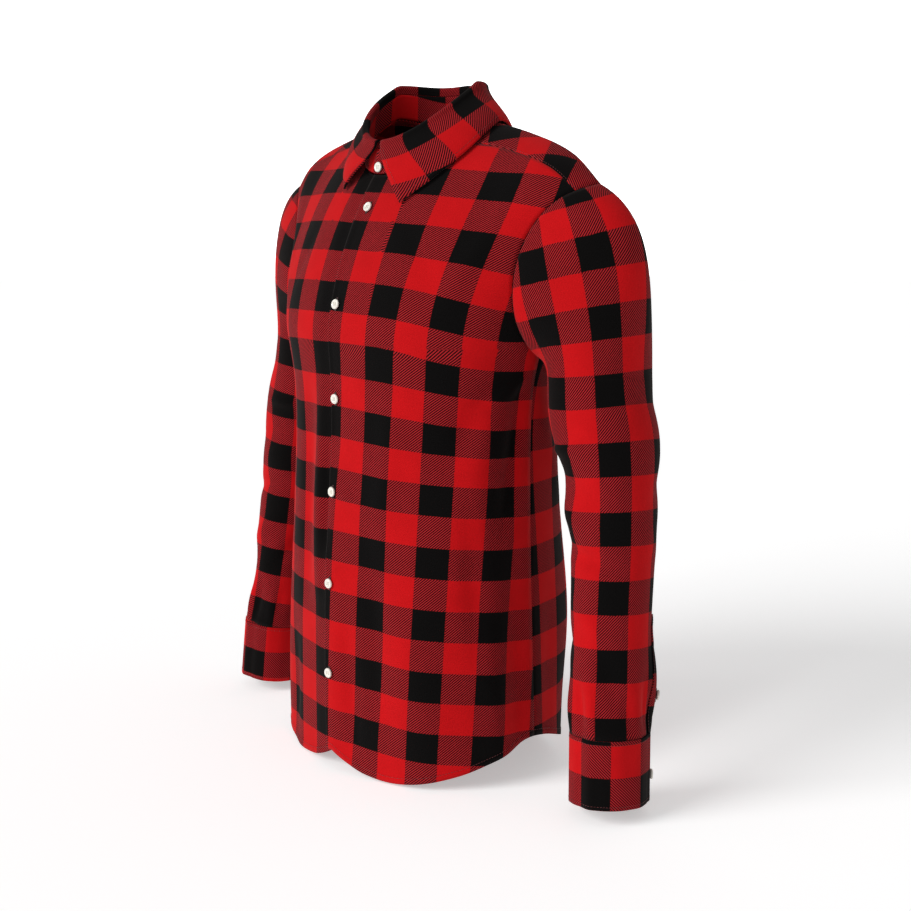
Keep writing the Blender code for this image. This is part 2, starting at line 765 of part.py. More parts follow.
def button_mesh():
    """A turned button, its back on the plane z = 0."""
    shape = bmesh.new()
    outline = [shape.verts.new((ring.radius, 0.0, ring.height)) for ring in BUTTON_RINGS]
    edges = [shape.edges.new(pair) for pair in zip(outline, outline[1:])]
    bmesh.ops.spin(shape, geom=outline + edges, cent=(0, 0, 0), axis=(0, 0, 1), dvec=(0, 0, 0),
                   angle=2 * pi, steps=BUTTON_SIDES)
    bmesh.ops.remove_doubles(shape, verts=shape.verts, dist=1e-6)
    bmesh.ops.recalc_face_normals(shape, faces=shape.faces)
    mesh = bpy.data.meshes.new("button")
    shape.to_mesh(mesh)
    shape.free()
    mesh.shade_smooth()
    return mesh


def add_button(name, place, s, t, material, collection):
    """A button on the outer face of a sheet, at place(s, t)."""
    step = 0.01
    point = place(s, t)
    along_s = place(s + step, t) - place(s - step, t)
    along_t = place(s, t + step) - place(s, t - step)
    outward = along_s.cross(along_t).normalized()
    if outward.dot(point - button_inside(point)) < 0:
        outward = -outward
    piece = add_object(name, button_mesh(), material, collection)
    seat = point + outward * (WALL / 2 + BUTTON_GAP)
    turn = outward.to_track_quat("Z", "Y").to_matrix().to_4x4()
    piece.matrix_world = Matrix.Translation(seat) @ turn
    return piece


def mirrored(place):
    """The same piece on the wearer's other side."""
    def other(s, t):
        point = place(s, t)
        return Vector((-point.x, point.y, point.z))
    return other


def button_inside(point):
    """A point inside the sleeve or the body, on the level of a button."""
    if abs(point.x) < RIDGE[-2].x:
        return Vector((0.0, 0.0, point.z))
    middle = sleeve_axis(max(point.z, WRIST_Z))[0]
    side = -1 if point.x < 0 else 1
    return Vector((side * middle.x, middle.y, point.z))


def front_share(z):
    """Where on the left front, as t, the button line is at this height."""
    low = 0.0
    high = 1.0
    for _ in range(SEEK_TURNS):
        middle = (low + high) / 2
        if front_left(BUTTON_LINE_S, middle).z < z:
            low = middle
        else:
            high = middle
    return low


def build():
    """Make every piece of the shirt."""
    for old in list(bpy.data.objects):
        bpy.data.objects.remove(old, do_unlink=True)
    shirt = bpy.data.collections.new(SHIRT)
    bpy.context.scene.collection.children.link(shirt)
    flannel = paint("red_and_black_flannel", (0.32, 0.004, 0.006), 0.9)
    plastic = paint("white_button_plastic", (0.86, 0.85, 0.80), 0.35)

    rows = LOWER_ROWS + UPPER_ROWS
    add_sheet("front_left", front_left, FRONT_COLUMNS, rows, ("right", "top"), flannel, shirt)
    add_sheet("front_right", front_right, FRONT_COLUMNS, rows, ("right", "top"), flannel, shirt)
    add_sheet("back", back, BACK_COLUMNS, rows, ("left", "right", "top"), flannel, shirt)
    add_sheet("yoke", yoke, YOKE_COLUMNS, FRONT_SHOULDER_COLUMNS, ("left", "right", "top"),
              flannel, shirt)
    add_sheet("collar_stand", collar_stand, COLLAR_COLUMNS, STAND_ROWS, (), flannel, shirt)
    add_sheet("collar_leaf", collar_leaf, LEAF_COLUMNS, LEAF_ROWS, (), flannel, shirt)

    sleeve_rows = SLEEVE_CAP_ROWS + SLEEVE_ROWS
    for side, hand in (("left", lambda place: place), ("right", mirrored)):
        add_sheet("sleeve_" + side, hand(sleeve_left), ARM_COLUMNS, sleeve_rows, (), flannel, shirt)
        add_sheet("cuff_" + side, hand(cuff_left), CUFF_COLUMNS, CUFF_ROWS, (), flannel, shirt)
        add_sheet("sleeve_placket_" + side, hand(placket_left), PLACKET_COLUMNS, PLACKET_ROWS, (),
                  flannel, shirt)

    place = front_left
    for number in range(FRONT_BUTTONS):
        share = front_share(TOP_BUTTON_Z - number * BUTTON_PITCH)
        add_button("button_front_%d" % (number + 1), place, BUTTON_LINE_S, share, plastic, shirt)
    lap = STAND_LAP / (pi * NECK_HALF_DEPTH + STAND_LAP)
    add_button("button_collar", collar_stand, 1 - lap / 2, COLLAR_BUTTON_UP, plastic, shirt)
    for side, hand in (("left", lambda place: place), ("right", mirrored)):
        around = CUFF_BUTTON_IN / (2 * pi * SLEEVE[0].side + CUFF_LAP)
        add_button("button_cuff_" + side, hand(cuff_left), around, 1 - CUFF_BUTTON_UP / CUFF_HEIGHT,
                   plastic, shirt)
        add_button("button_placket_" + side, hand(placket_left), 0.5,
                   PLACKET_BUTTON_UP / PLACKET_LENGTH, plastic, shirt)


build()
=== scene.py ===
# %% [markdown]
# # A flannel shirt, filled out as if worn
#
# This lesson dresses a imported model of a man's flannel shirt. The model gives the size and place
# of every piece: the shirt is 0.69 m from cuff to cuff and stands in metres, with +Z up, its
# front towards -Y and the wearer's left at +X. Each stiff solid of cloth is replaced by a thin
# shell that has its creases, its seams and the check woven into it.

# %% The frame
import json
from collections import namedtuple
from functools import partial
from math import asin, pi, radians, sin

import bmesh
import bpy
import numpy as np
from mathutils import Matrix, Vector

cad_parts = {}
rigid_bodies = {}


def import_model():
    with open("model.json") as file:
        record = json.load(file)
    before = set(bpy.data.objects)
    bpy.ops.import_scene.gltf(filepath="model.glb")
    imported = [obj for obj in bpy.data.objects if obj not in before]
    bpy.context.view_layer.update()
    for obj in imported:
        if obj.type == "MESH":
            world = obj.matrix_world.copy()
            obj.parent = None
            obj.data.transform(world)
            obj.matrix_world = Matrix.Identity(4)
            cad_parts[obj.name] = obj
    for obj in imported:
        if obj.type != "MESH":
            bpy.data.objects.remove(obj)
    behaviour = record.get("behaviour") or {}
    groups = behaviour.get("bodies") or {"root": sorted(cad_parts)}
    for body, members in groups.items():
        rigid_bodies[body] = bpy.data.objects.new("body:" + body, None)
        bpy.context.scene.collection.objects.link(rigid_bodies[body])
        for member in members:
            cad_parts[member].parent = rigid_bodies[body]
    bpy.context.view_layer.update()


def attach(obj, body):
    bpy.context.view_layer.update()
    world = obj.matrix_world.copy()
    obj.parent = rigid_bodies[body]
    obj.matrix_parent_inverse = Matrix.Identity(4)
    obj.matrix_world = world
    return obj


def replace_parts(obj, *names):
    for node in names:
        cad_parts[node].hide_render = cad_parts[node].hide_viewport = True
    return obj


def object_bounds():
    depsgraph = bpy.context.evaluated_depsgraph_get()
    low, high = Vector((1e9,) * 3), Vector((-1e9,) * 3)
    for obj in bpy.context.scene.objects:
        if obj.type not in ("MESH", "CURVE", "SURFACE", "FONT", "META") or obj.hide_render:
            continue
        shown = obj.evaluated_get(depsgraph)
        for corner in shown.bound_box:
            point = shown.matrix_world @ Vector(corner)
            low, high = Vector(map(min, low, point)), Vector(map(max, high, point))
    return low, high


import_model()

# %% [markdown]
# ## The form under the cloth
#
# A shirt that somebody fills has no flat places. It could be draped on a dummy by simulation, but
# then it would no longer match the solids it replaces, and panels drawn one by one wouldn't meet.
# So the whole body is one form: a table of level sections up to the armpits and a vault over the
# shoulders above them. A place on it is `across`, from -1 at the right side to 1 at the left, and
# `over`, from below -1 at the front hem, through 0 on the shoulder ridge, to past 1 at the back
# hem. All the functions take whole arrays, which keeps fine grids quick.

# %% Sizes of the form
CLOTH = 0.0011
SEAM_GAP = 0.00025
LAP_STEP = 0.0019

Section = namedtuple("Section", "z half_width front back centre")
SECTIONS = (
    Section(-0.760, 0.180, 0.144, 0.118, -0.002),
    Section(-0.660, 0.178, 0.143, 0.120, -0.002),
    Section(-0.560, 0.174, 0.142, 0.134, -0.002),
    Section(-0.450, 0.170, 0.140, 0.126, -0.002),
    Section(-0.350, 0.167, 0.138, 0.116, 0.000),
    Section(-0.290, 0.170, 0.138, 0.115, 0.000),
    Section(-0.240, 0.182, 0.141, 0.118, 0.000),
)
SECTION_POWER = 2.25
ARMPIT_Z = -0.240
LOWEST_Z = -0.740
QUARTER_LENGTH = 0.262

Ridge = namedtuple("Ridge", "out x y z front_run front_drop back_run back_drop")
RIDGE = (
    Ridge(-0.30, -0.070, 0.014, 0.006, 0.68, 0.043, 0.64, 0.006),
    Ridge(0.00, 0.000, 0.012, 0.026, 0.77, 0.080, 0.66, 0.002),
    Ridge(0.30, 0.070, 0.014, 0.006, 0.68, 0.043, 0.64, 0.006),
    Ridge(0.65, 0.152, 0.017, -0.014, 0.55, 0.022, 0.62, 0.012),
    Ridge(0.85, 0.206, 0.018, -0.034, 0.75, 0.014, 0.60, 0.012),
    Ridge(1.00, 0.246, 0.018, -0.066, 0.80, 0.010, 0.60, 0.010),
)
FRONT_RISE = 0.040
SIDE_RISE = 0.060
BACK_RISE = 0.125
TIP_FRONT = 0.045
TIP_BACK = 0.050
TIP_POWER = 3
SHOULDER_REACH = 0.95
SLOPE_STEP = 0.01
FORM_STEP = 1e-3
LINE_PLACES = 401
WAIST_OVER = -1.4
print("level sections:", len(SECTIONS), "shoulder stations:", len(RIDGE))


# %% Curves through tables
def mix(a, b, share):
    """The value or point a share of the way from a to b."""
    return a + (b - a) * share


def ease(start, end, value):
    """0 before start, 1 after end and a soft step between them."""
    share = np.clip((value - start) / (end - start), 0.0, 1.0)
    return share * share * (3 - 2 * share)


def points(x, y, z):
    """Three arrays of coordinates as one array of points."""
    return np.stack(np.broadcast_arrays(x, y, z), axis=-1)


def curve(rows, field, value):
    """A column of a table at values of its first column, on a smooth curve through the rows."""
    keys = np.array([row[0] for row in rows])
    fields = np.array([getattr(row, field) for row in rows])
    slopes = np.gradient(fields, keys)
    slopes[1:-1] = (fields[2:] - fields[:-2]) / (keys[2:] - keys[:-2])
    low = np.clip(np.searchsorted(keys, value, side="right") - 1, 0, len(keys) - 2)
    step = keys[low + 1] - keys[low]
    t = np.clip((value - keys[low]) / step, 0.0, 1.0)
    rest = 1 - t
    ends = rest * rest * (1 + 2 * t) * fields[low] + t * t * (3 - 2 * t) * fields[low + 1]
    return ends + t * rest * step * (rest * slopes[low] - t * slopes[low + 1])


def bezier(a, b, c, d, t):
    """Points of the cubic curve with these four handles."""
    rest = 1 - t
    return rest ** 3 * a + 3 * rest * rest * t * b + 3 * rest * t * t * c + t ** 3 * d


def unit(vectors):
    """Vectors at length 1."""
    return vectors / np.linalg.norm(vectors, axis=-1, keepdims=True)


print("half girth at the armpits:", round(float(curve(SECTIONS, "half_width", ARMPIT_Z)), 3))


# %% The body's form
def section(quarter, z):
    """Points of the level section, quarter 0 in front, 1 at the side, 2 at the back."""
    angle = quarter * pi / 2
    depth = np.where(quarter <= 1, curve(SECTIONS, "front", z), curve(SECTIONS, "back", z))
    radius = (np.abs(np.sin(angle) / curve(SECTIONS, "half_width", z)) ** SECTION_POWER
              + np.abs(np.cos(angle) / depth) ** SECTION_POWER) ** (-1 / SECTION_POWER)
    return points(radius * np.sin(angle), curve(SECTIONS, "centre", z) - radius * np.cos(angle), z)


def vault(across, over):
    """Points of the shoulders, over from -1 at armpit height in front to 1 behind."""
    out = np.abs(across)
    front = over <= 0
    quarter = np.where(front, out, 2 - out)
    base = section(quarter, ARMPIT_Z)
    up = (base - section(quarter, ARMPIT_Z - SLOPE_STEP)) / SLOPE_STEP
    ridge = points(curve(RIDGE, "x", out), curve(RIDGE, "y", out), curve(RIDGE, "z", out))
    run = np.where(front, curve(RIDGE, "front_run", out), curve(RIDGE, "back_run", out))
    drop = np.where(front, curve(RIDGE, "front_drop", out), curve(RIDGE, "back_drop", out))
    rise = mix(np.where(front, FRONT_RISE, BACK_RISE), SIDE_RISE, out)
    tip = np.where(front, -TIP_FRONT, TIP_BACK) * out ** TIP_POWER
    low = base + up * rise[..., None]
    high = points(mix(base[..., 0], ridge[..., 0], SHOULDER_REACH),
                  mix(ridge[..., 1], base[..., 1], run) + tip, ridge[..., 2] - drop)
    place = bezier(base, low, high, ridge, (1 - np.abs(over))[..., None])
    place[..., 0] *= np.where(across < 0, -1, 1)
    return place


def form(across, over):
    """Points of the whole body: the vault, and the sections below armpit height."""
    across, over = np.broadcast_arrays(np.asarray(across, float), np.asarray(over, float))
    low = np.maximum(np.abs(over) - 1, 0.0)
    level = section(np.where(over < 0, np.abs(across), 2 - np.abs(across)),
                    mix(ARMPIT_Z, LOWEST_Z, low))
    level[..., 0] *= np.where(across < 0, -1, 1)
    return np.where((low > 0)[..., None], level, vault(across, np.clip(over, -1, 1)))


def form_normal(across, over):
    """The direction straight out of the form."""
    to_side = form(across + FORM_STEP, over) - form(across - FORM_STEP, over)
    to_back = form(across, over + FORM_STEP) - form(across, over - FORM_STEP)
    return unit(np.cross(to_side, to_back))


def length_of(line):
    """The length along a row of points, up to each of them."""
    steps = np.linalg.norm(np.diff(line, axis=0), axis=-1)
    return np.concatenate([[0.0], np.cumsum(steps)])


girth = 2 * length_of(form(np.linspace(-1, 1, LINE_PLACES), WAIST_OVER))[-1]
print("girth round the waist, about:", round(float(girth), 3))

# %% [markdown]
# ## Armholes and neck
#
# An armhole is a cut in the body's panels, so it is a line on the form: scooped in front and
# behind, and out at the shoulder's tip. The neck seam is an oval in plan, dropped on the form.
# Dropping it means looking for the place above a point, which repeated turns of Newton's rule find.

# %% The armhole
SCYE_FRONT = 0.17
SCYE_BACK = 0.13
SCYE_TURN = 0.42
SCYE_HEIGHT = 0.34
YOKE_FRONT_DROP = 0.028
YOKE_BACK_DROP = 0.060


def scye(share, front):
    """The armhole's edge on the left, from the side seam at 0 to the shoulder tip at 1."""
    share = np.asarray(share, float)
    angle = np.minimum(share / SCYE_TURN, 1.0) * pi / 2
    past = np.maximum(share - SCYE_TURN, 0.0) / (1 - SCYE_TURN)
    up = np.where(share < SCYE_TURN, SCYE_HEIGHT * (1 - np.cos(angle)), mix(SCYE_HEIGHT, 1.0, past))
    scoop = (SCYE_FRONT if front else SCYE_BACK) * np.where(
        share < SCYE_TURN, np.sin(angle), 1 - ease(0.0, 1.0, past))
    return np.stack([1 - scoop, up - 1 if front else 1 - up], axis=-1)


def share_below_tip(front, drop):
    """How far up the armhole's edge the point lies that is drop below the shoulder's tip."""
    shares = np.linspace(1.0, 0.0, LINE_PLACES)
    places = scye(shares, front)
    return float(np.interp(drop, length_of(vault(places[:, 0], places[:, 1])), shares))


FRONT_SHARE = share_below_tip(True, YOKE_FRONT_DROP)
BACK_SHARE = share_below_tip(False, YOKE_BACK_DROP)
print("armhole shares at the yoke:", round(FRONT_SHARE, 3), round(BACK_SHARE, 3))

# %% The neck seam
NECK_HALF_WIDTH = 0.070
NECK_HALF_DEPTH = 0.0685
NECK_CENTRE_Y = -0.004
LAP = 0.0095
OVER_GUESS = 0.4
SEEK_TURNS = 40
SEEK_STEP = 1e-4
NECK_PLACES = 901
NECK_PAST = 0.5


def vault_place(x, y):
    """Where on the vault, as across and over, the points above these places in plan are."""
    x, y = np.broadcast_arrays(np.asarray(x, float), np.asarray(y, float))
    across = x / RIDGE[-1].x
    over = np.where(y < 0, -OVER_GUESS, OVER_GUESS)
    for _ in range(SEEK_TURNS):
        here = vault(across, over)
        to_side = (vault(across + SEEK_STEP, over) - here) / SEEK_STEP
        to_back = (vault(across, over + SEEK_STEP) - here) / SEEK_STEP
        miss_x = x - here[..., 0]
        miss_y = y - here[..., 1]
        area = to_side[..., 0] * to_back[..., 1] - to_back[..., 0] * to_side[..., 1]
        across = across + (miss_x * to_back[..., 1] - miss_y * to_back[..., 0]) / area
        over = over + (miss_y * to_side[..., 0] - miss_x * to_side[..., 1]) / area
        over = np.clip(over, -1.0, 1.0)
    return np.stack([across, over], axis=-1)


def along_line(keys, line, value):
    """Points of a line at values of its keys, straight between them."""
    return np.stack([np.interp(value, keys, line[:, axis]) for axis in range(line.shape[1])],
                    axis=-1)


NECK_ANGLES = np.linspace(-NECK_PAST, 2 * pi + NECK_PAST, NECK_PLACES)
NECK_LINE = vault_place(NECK_HALF_WIDTH * np.sin(NECK_ANGLES),
                        NECK_CENTRE_Y - NECK_HALF_DEPTH * np.cos(NECK_ANGLES))


def neck_place(angle):
    """The neck seam as places on the vault, angle 0 in front and pi behind."""
    return along_line(NECK_ANGLES, NECK_LINE, angle)


NECK_LAP_ANGLE = asin(LAP / NECK_HALF_DEPTH)
print("half neck seam:", NECK_HALF_WIDTH, "wide and", NECK_HALF_DEPTH, "deep")

# %% The yoke's seams
YOKE_FRONT_ANGLE = radians(72)


def yoke_front_seam(share):
    """The front edge of the yoke on the left, from the neck to the armhole."""
    return mix(neck_place(YOKE_FRONT_ANGLE), scye(FRONT_SHARE, True), share[..., None])


def level_seam(share):
    """Places of a level line round the back, between the two ends of the yoke's back seam."""
    end = scye(BACK_SHARE, False)
    across = end[0] * (1 - 2 * share)
    level = vault(end[0], end[1])[2]
    high = np.zeros_like(across)
    low = np.ones_like(across)
    for _ in range(SEEK_TURNS):
        over = (high + low) / 2
        above = vault(across, over)[..., 2] > level
        high = np.where(above, over, high)
        low = np.where(above, low, over)
    return np.stack([across, low], axis=-1)


SEAM_SHARES = np.linspace(0, 1, LINE_PLACES)
SEAM_LINE = level_seam(SEAM_SHARES)


def yoke_back_seam(share):
    """The back edge of the yoke, level from the left armhole at 0 to the right one at 1."""
    return along_line(SEAM_SHARES, SEAM_LINE, share)


print("height of the yoke's back seam:", round(float(vault(*SEAM_LINE[0])[2]), 3))

# %% [markdown]
# ## Folds
#
# Cloth that hangs on a body breaks into long soft ridges and troughs. They start where it is
# held, at the armpits, elbows and cuffs, and fade out. A simulation would give folds of its own
# choice, so each one here is a row of a table: where it starts, where it ends, how wide it is and
# how far it stands out. The large ones are in the solids too. The small ones are uneven on
# purpose, and the hidden sides have their own.

# %% Folds of the body
Fold = namedtuple("Fold", "across z to_across to_z width height")
FRONT_FOLDS = (
    Fold(-0.13, -0.30, -0.15, -0.52, 0.016, 0.005),
    Fold(-0.26, -0.30, -0.27, -0.54, 0.018, -0.005),
    Fold(0.86, -0.26, 0.62, -0.36, 0.016, -0.004),
    Fold(0.80, -0.28, 0.70, -0.46, 0.020, 0.004),
    Fold(-0.01, -0.40, -0.01, -0.80, 0.030, 0.008),
    Fold(0.45, -0.52, 0.52, -0.76, 0.026, 0.004),
    Fold(-0.86, -0.26, -0.62, -0.36, 0.016, -0.004),
    Fold(-0.55, -0.50, -0.60, -0.76, 0.026, 0.004),
)
SMALL_FRONT_FOLDS = (
    Fold(0.93, -0.29, 0.86, -0.44, 0.009, -0.0053),
    Fold(0.97, -0.27, 0.74, -0.31, 0.008, 0.0033),
    Fold(0.70, -0.40, 0.74, -0.58, 0.012, -0.0033),
    Fold(0.90, -0.48, 0.93, -0.70, 0.015, -0.0045),
    Fold(0.78, -0.56, 0.83, -0.71, 0.014, 0.0042),
    Fold(0.56, -0.20, 0.72, -0.10, 0.014, 0.0027),
    Fold(0.30, -0.11, 0.52, -0.17, 0.012, -0.0021),
    Fold(0.24, -0.46, 0.30, -0.66, 0.018, -0.0036),
    Fold(0.36, -0.30, 0.30, -0.44, 0.016, 0.0027),
    Fold(0.10, -0.56, 0.14, -0.70, 0.012, -0.0027),
    Fold(0.02, -0.405, 0.17, -0.418, 0.007, 0.0016),
    Fold(0.02, -0.500, 0.20, -0.488, 0.008, -0.0015),
    Fold(-0.08, -0.36, -0.06, -0.47, 0.008, -0.0039),
    Fold(-0.93, -0.29, -0.84, -0.46, 0.010, -0.0053),
    Fold(-0.97, -0.27, -0.72, -0.32, 0.008, 0.0033),
    Fold(-0.72, -0.40, -0.70, -0.60, 0.013, -0.0036),
    Fold(-0.88, -0.52, -0.92, -0.70, 0.015, -0.0042),
    Fold(-0.42, -0.60, -0.44, -0.73, 0.015, -0.0039),
    Fold(-0.58, -0.19, -0.74, -0.10, 0.013, 0.0027),
    Fold(-0.34, -0.12, -0.50, -0.19, 0.012, -0.0021),
)
BACK_FOLDS = (
    Fold(0.55, -0.12, 0.60, -0.30, 0.020, -0.0030),
    Fold(-0.58, -0.12, -0.62, -0.32, 0.018, -0.0030),
    Fold(0.95, -0.27, 0.66, -0.35, 0.011, -0.0032),
    Fold(0.97, -0.30, 0.74, -0.42, 0.012, 0.0026),
    Fold(-0.95, -0.27, -0.68, -0.34, 0.012, -0.0034),
    Fold(-0.97, -0.31, -0.70, -0.44, 0.012, 0.0026),
    Fold(0.10, -0.34, 0.34, -0.40, 0.016, 0.0030),
    Fold(-0.06, -0.39, -0.36, -0.44, 0.015, 0.0028),
    Fold(0.30, -0.44, 0.02, -0.48, 0.014, -0.0024),
    Fold(0.62, -0.46, 0.68, -0.71, 0.022, 0.0040),
    Fold(-0.64, -0.48, -0.70, -0.72, 0.022, 0.0038),
    Fold(0.22, -0.52, 0.20, -0.74, 0.020, -0.0034),
    Fold(-0.26, -0.54, -0.22, -0.75, 0.020, -0.0032),
    Fold(0.88, -0.52, 0.90, -0.70, 0.014, -0.0026),
    Fold(-0.90, -0.50, -0.88, -0.70, 0.014, -0.0028),
)
print("folds in front:", len(FRONT_FOLDS) + len(SMALL_FRONT_FOLDS), "behind:", len(BACK_FOLDS))

# %% How a fold moves the cloth
FOLD_END = 0.12
SEAM_STILL = (0.93, 1.0)


def fold_height(folds, across, z, length):
    """How far the folds together move the cloth. length is the length of 1 across."""
    total = np.zeros(np.broadcast(across, z).shape)
    for fold in folds:
        run_x = (fold.to_across - fold.across) * length
        run_z = fold.to_z - fold.z
        off_x = (across - fold.across) * length
        off_z = z - fold.z
        share = np.clip((off_x * run_x + off_z * run_z) / (run_x ** 2 + run_z ** 2), 0.0, 1.0)
        apart = np.hypot(off_x - run_x * share, off_z - run_z * share) / fold.width
        fade = np.sin(pi * mix(FOLD_END, 1 - FOLD_END, share))
        total += fold.height * fade * np.exp(-apart * apart)
    return total


def body_point(place, lift=0.0):
    """Points of the body's cloth at these places, folds included."""
    across, over = place[..., 0], place[..., 1]
    here = form(across, over)
    z = here[..., 2]
    still = 1 - ease(*SEAM_STILL, np.abs(across))
    front = (fold_height(FRONT_FOLDS, across, z, QUARTER_LENGTH)
             + fold_height(SMALL_FRONT_FOLDS, across, z, QUARTER_LENGTH) * still)
    behind = fold_height(BACK_FOLDS, across, z, QUARTER_LENGTH) * still * ease(0.0, 0.5, over)
    height = np.where(over < 0, front, behind) + lift
    return here + form_normal(across, over) * height[..., None]


print("front of the chest:", body_point(np.array([0.0, -1.0])).round(3))

# %% [markdown]
# ## Panels as grids
#
# A shirt's body is cut as two fronts, a back and a yoke. Woven cloth is a grid of threads, so each
# panel is a grid too: `s` runs along one edge and `t` along the other, both from 0 to 1. Cutting
# one mesh along the seams would leave ragged cells, so each panel is filled in from its own four
# curved edges, which is called a Coons patch. Neighbours use the same edge, so they meet.

# %% The hem, and places inside four edges
Hem = namedtuple("Hem", "quarter z")
HEM = (
    Hem(0.0, -0.711),
    Hem(0.1, -0.722),
    Hem(0.2, -0.729),
    Hem(0.4, -0.731),
    Hem(0.65, -0.717),
    Hem(0.85, -0.697),
    Hem(1.0, -0.683),
    Hem(1.3, -0.708),
    Hem(1.65, -0.730),
    Hem(2.0, -0.732),
)


def hem_over(quarter):
    """How far down the hem is, as over without its sign."""
    return 1 + (ARMPIT_Z - curve(HEM, "z", quarter)) / (ARMPIT_Z - LOWEST_Z)


def coons(bottom, top, left, right, s, t, rise):
    """Places inside four edges. rise is how far t takes them from the bottom edge to the top."""
    s_part, rise_part = s[..., None], rise[..., None]
    zero, one = np.zeros(1), np.ones(1)
    ruled = mix(bottom(s), top(s), rise_part) + mix(left(t), right(t), s_part)
    corners = mix(mix(bottom(zero), bottom(one), s_part), mix(top(zero), top(one), s_part),
                  rise_part)
    return ruled - corners


print("hem, down from the armpits:", [round(float(hem_over(at)) - 1, 2) for at in (0, 1, 2)])

# %% The fronts
LAP_BLEND = 0.018
LAP_CLEAR = 0.004
FRONT_CROWD = 1.35
LOWER_ROWS = 16
UPPER_ROWS = 9
WAIST = LOWER_ROWS / (LOWER_ROWS + UPPER_ROWS)
NECK_TURN = 0.4
CENTRE_FRONT = ((0.0, 0.1), (0.0, WAIST))
FREE_EDGE = -asin(LAP / float(curve(SECTIONS, "front", ARMPIT_Z))) / (pi / 2)


def front_place(s, t):
    """Places of the left front, s from its free edge to the side seam, t from hem to shoulder."""
    across = mix(FREE_EDGE, 1.0, np.maximum(s, 0) ** FRONT_CROWD)
    low = np.stack([across, -mix(hem_over(across), 1.0, np.minimum(t / WAIST, 1.0))], axis=-1)

    def bottom(share):
        side = mix(FREE_EDGE, 1.0, np.maximum(share, 0) ** FRONT_CROWD)
        return np.stack([side, -np.ones_like(side)], axis=-1)

    def top(share):
        neck = neck_place(mix(-NECK_LAP_ANGLE, YOKE_FRONT_ANGLE, np.minimum(share / NECK_TURN, 1)))
        shoulder = yoke_front_seam(np.maximum(share - NECK_TURN, 0) / (1 - NECK_TURN))
        return np.where((share <= NECK_TURN)[..., None], neck, shoulder)

    def left(share):
        return mix(np.array([FREE_EDGE, -1.0]), neck_place(-NECK_LAP_ANGLE), share[..., None])

    def right(share):
        return scye(share * FRONT_SHARE, True)

    share = np.maximum(t - WAIST, 0.0) / (1 - WAIST)
    high = coons(bottom, top, left, right, s, share, share)
    return np.where((t <= WAIST)[..., None], low, high)


def front_left(s, t):
    """The left front, which laps over the right one."""
    return body_point(front_place(s, t))


def front_right(s, t):
    """The right front, whose edge lies one step in, under the left one."""
    place = front_place(s, t) * np.array([-1, 1])
    plain = body_point(place)
    tuck = LAP_STEP * ease(-LAP - LAP_CLEAR - LAP_BLEND, -LAP - LAP_CLEAR, plain[..., 0])
    return plain - form_normal(place[..., 0], place[..., 1]) * tuck[..., None]


print("lower front corner:", front_left(np.zeros(1), np.zeros(1))[0].round(3))


# %% The back
def back(s, t):
    """The back, s from the left side seam to the right one, t from hem to yoke."""
    across = 1 - 2 * s
    low = np.stack([across, mix(hem_over(2 - np.abs(across)), 1.0, np.minimum(t / WAIST, 1.0))],
                   axis=-1)

    def bottom(share):
        return np.stack([1 - 2 * share, np.ones_like(share)], axis=-1)

    def left(share):
        return scye(share * BACK_SHARE, False)

    def right(share):
        return left(share) * np.array([-1, 1])

    share = np.maximum(t - WAIST, 0.0) / (1 - WAIST)
    rise = (1 - left(share)[..., 1]) / (1 - left(np.ones(1))[0, 1])
    high = coons(bottom, yoke_back_seam, left, right, s, share, rise)
    return body_point(np.where((t <= WAIST)[..., None], low, high))


print("middle of the back:", back(np.array([0.5]), np.array([0.5]))[0].round(3))

# %% The yoke
YOKE_ARM_FRONT = 2
YOKE_ARM_BACK = 4
BACK_COLUMNS = 18
YOKE_COLUMNS = 2 * (YOKE_ARM_FRONT + YOKE_ARM_BACK) + BACK_COLUMNS


def yoke_outer(column):
    """The yoke's outer edge by column: over the left arm, along the back, over the right arm."""
    near = np.minimum(column, YOKE_COLUMNS - column)
    arm = YOKE_ARM_FRONT + YOKE_ARM_BACK
    tip = scye(mix(FRONT_SHARE, 1.0, np.minimum(near / YOKE_ARM_FRONT, 1.0)), True)
    behind = scye(mix(1.0, BACK_SHARE, np.clip((near - YOKE_ARM_FRONT) / YOKE_ARM_BACK, 0, 1)),
                  False)
    along_back = yoke_back_seam(np.maximum(near - arm, 0) / BACK_COLUMNS)
    edge = np.where((near <= YOKE_ARM_FRONT)[..., None], tip,
                    np.where((near <= arm)[..., None], behind, along_back))
    edge[..., 0] *= np.where(column > YOKE_COLUMNS / 2, -1, 1)
    return edge


def yoke(s, t):
    """The yoke, s from its left front edge round the back to its right one, t from the neck."""
    inner = neck_place(mix(YOKE_FRONT_ANGLE, 2 * pi - YOKE_FRONT_ANGLE, s))
    return body_point(mix(inner, yoke_outer(s * YOKE_COLUMNS), t[..., None]))


print("back seam in the middle:", yoke(np.array([0.5]), np.ones(1))[0].round(3))


# %% [markdown]
# ## Sleeves and cuffs
#
# A sleeve is one panel sewn into a tube. It could be swept along a curve, but its folds and its
# head need more say, so it is a tube of rings down a bent middle line. The head is the hard part:
# it has to leave the armhole at a right slope all round and turn into a tube. A Bezier curve from
# each point of the armhole to the first ring does that, with a longer pull at the top than below.

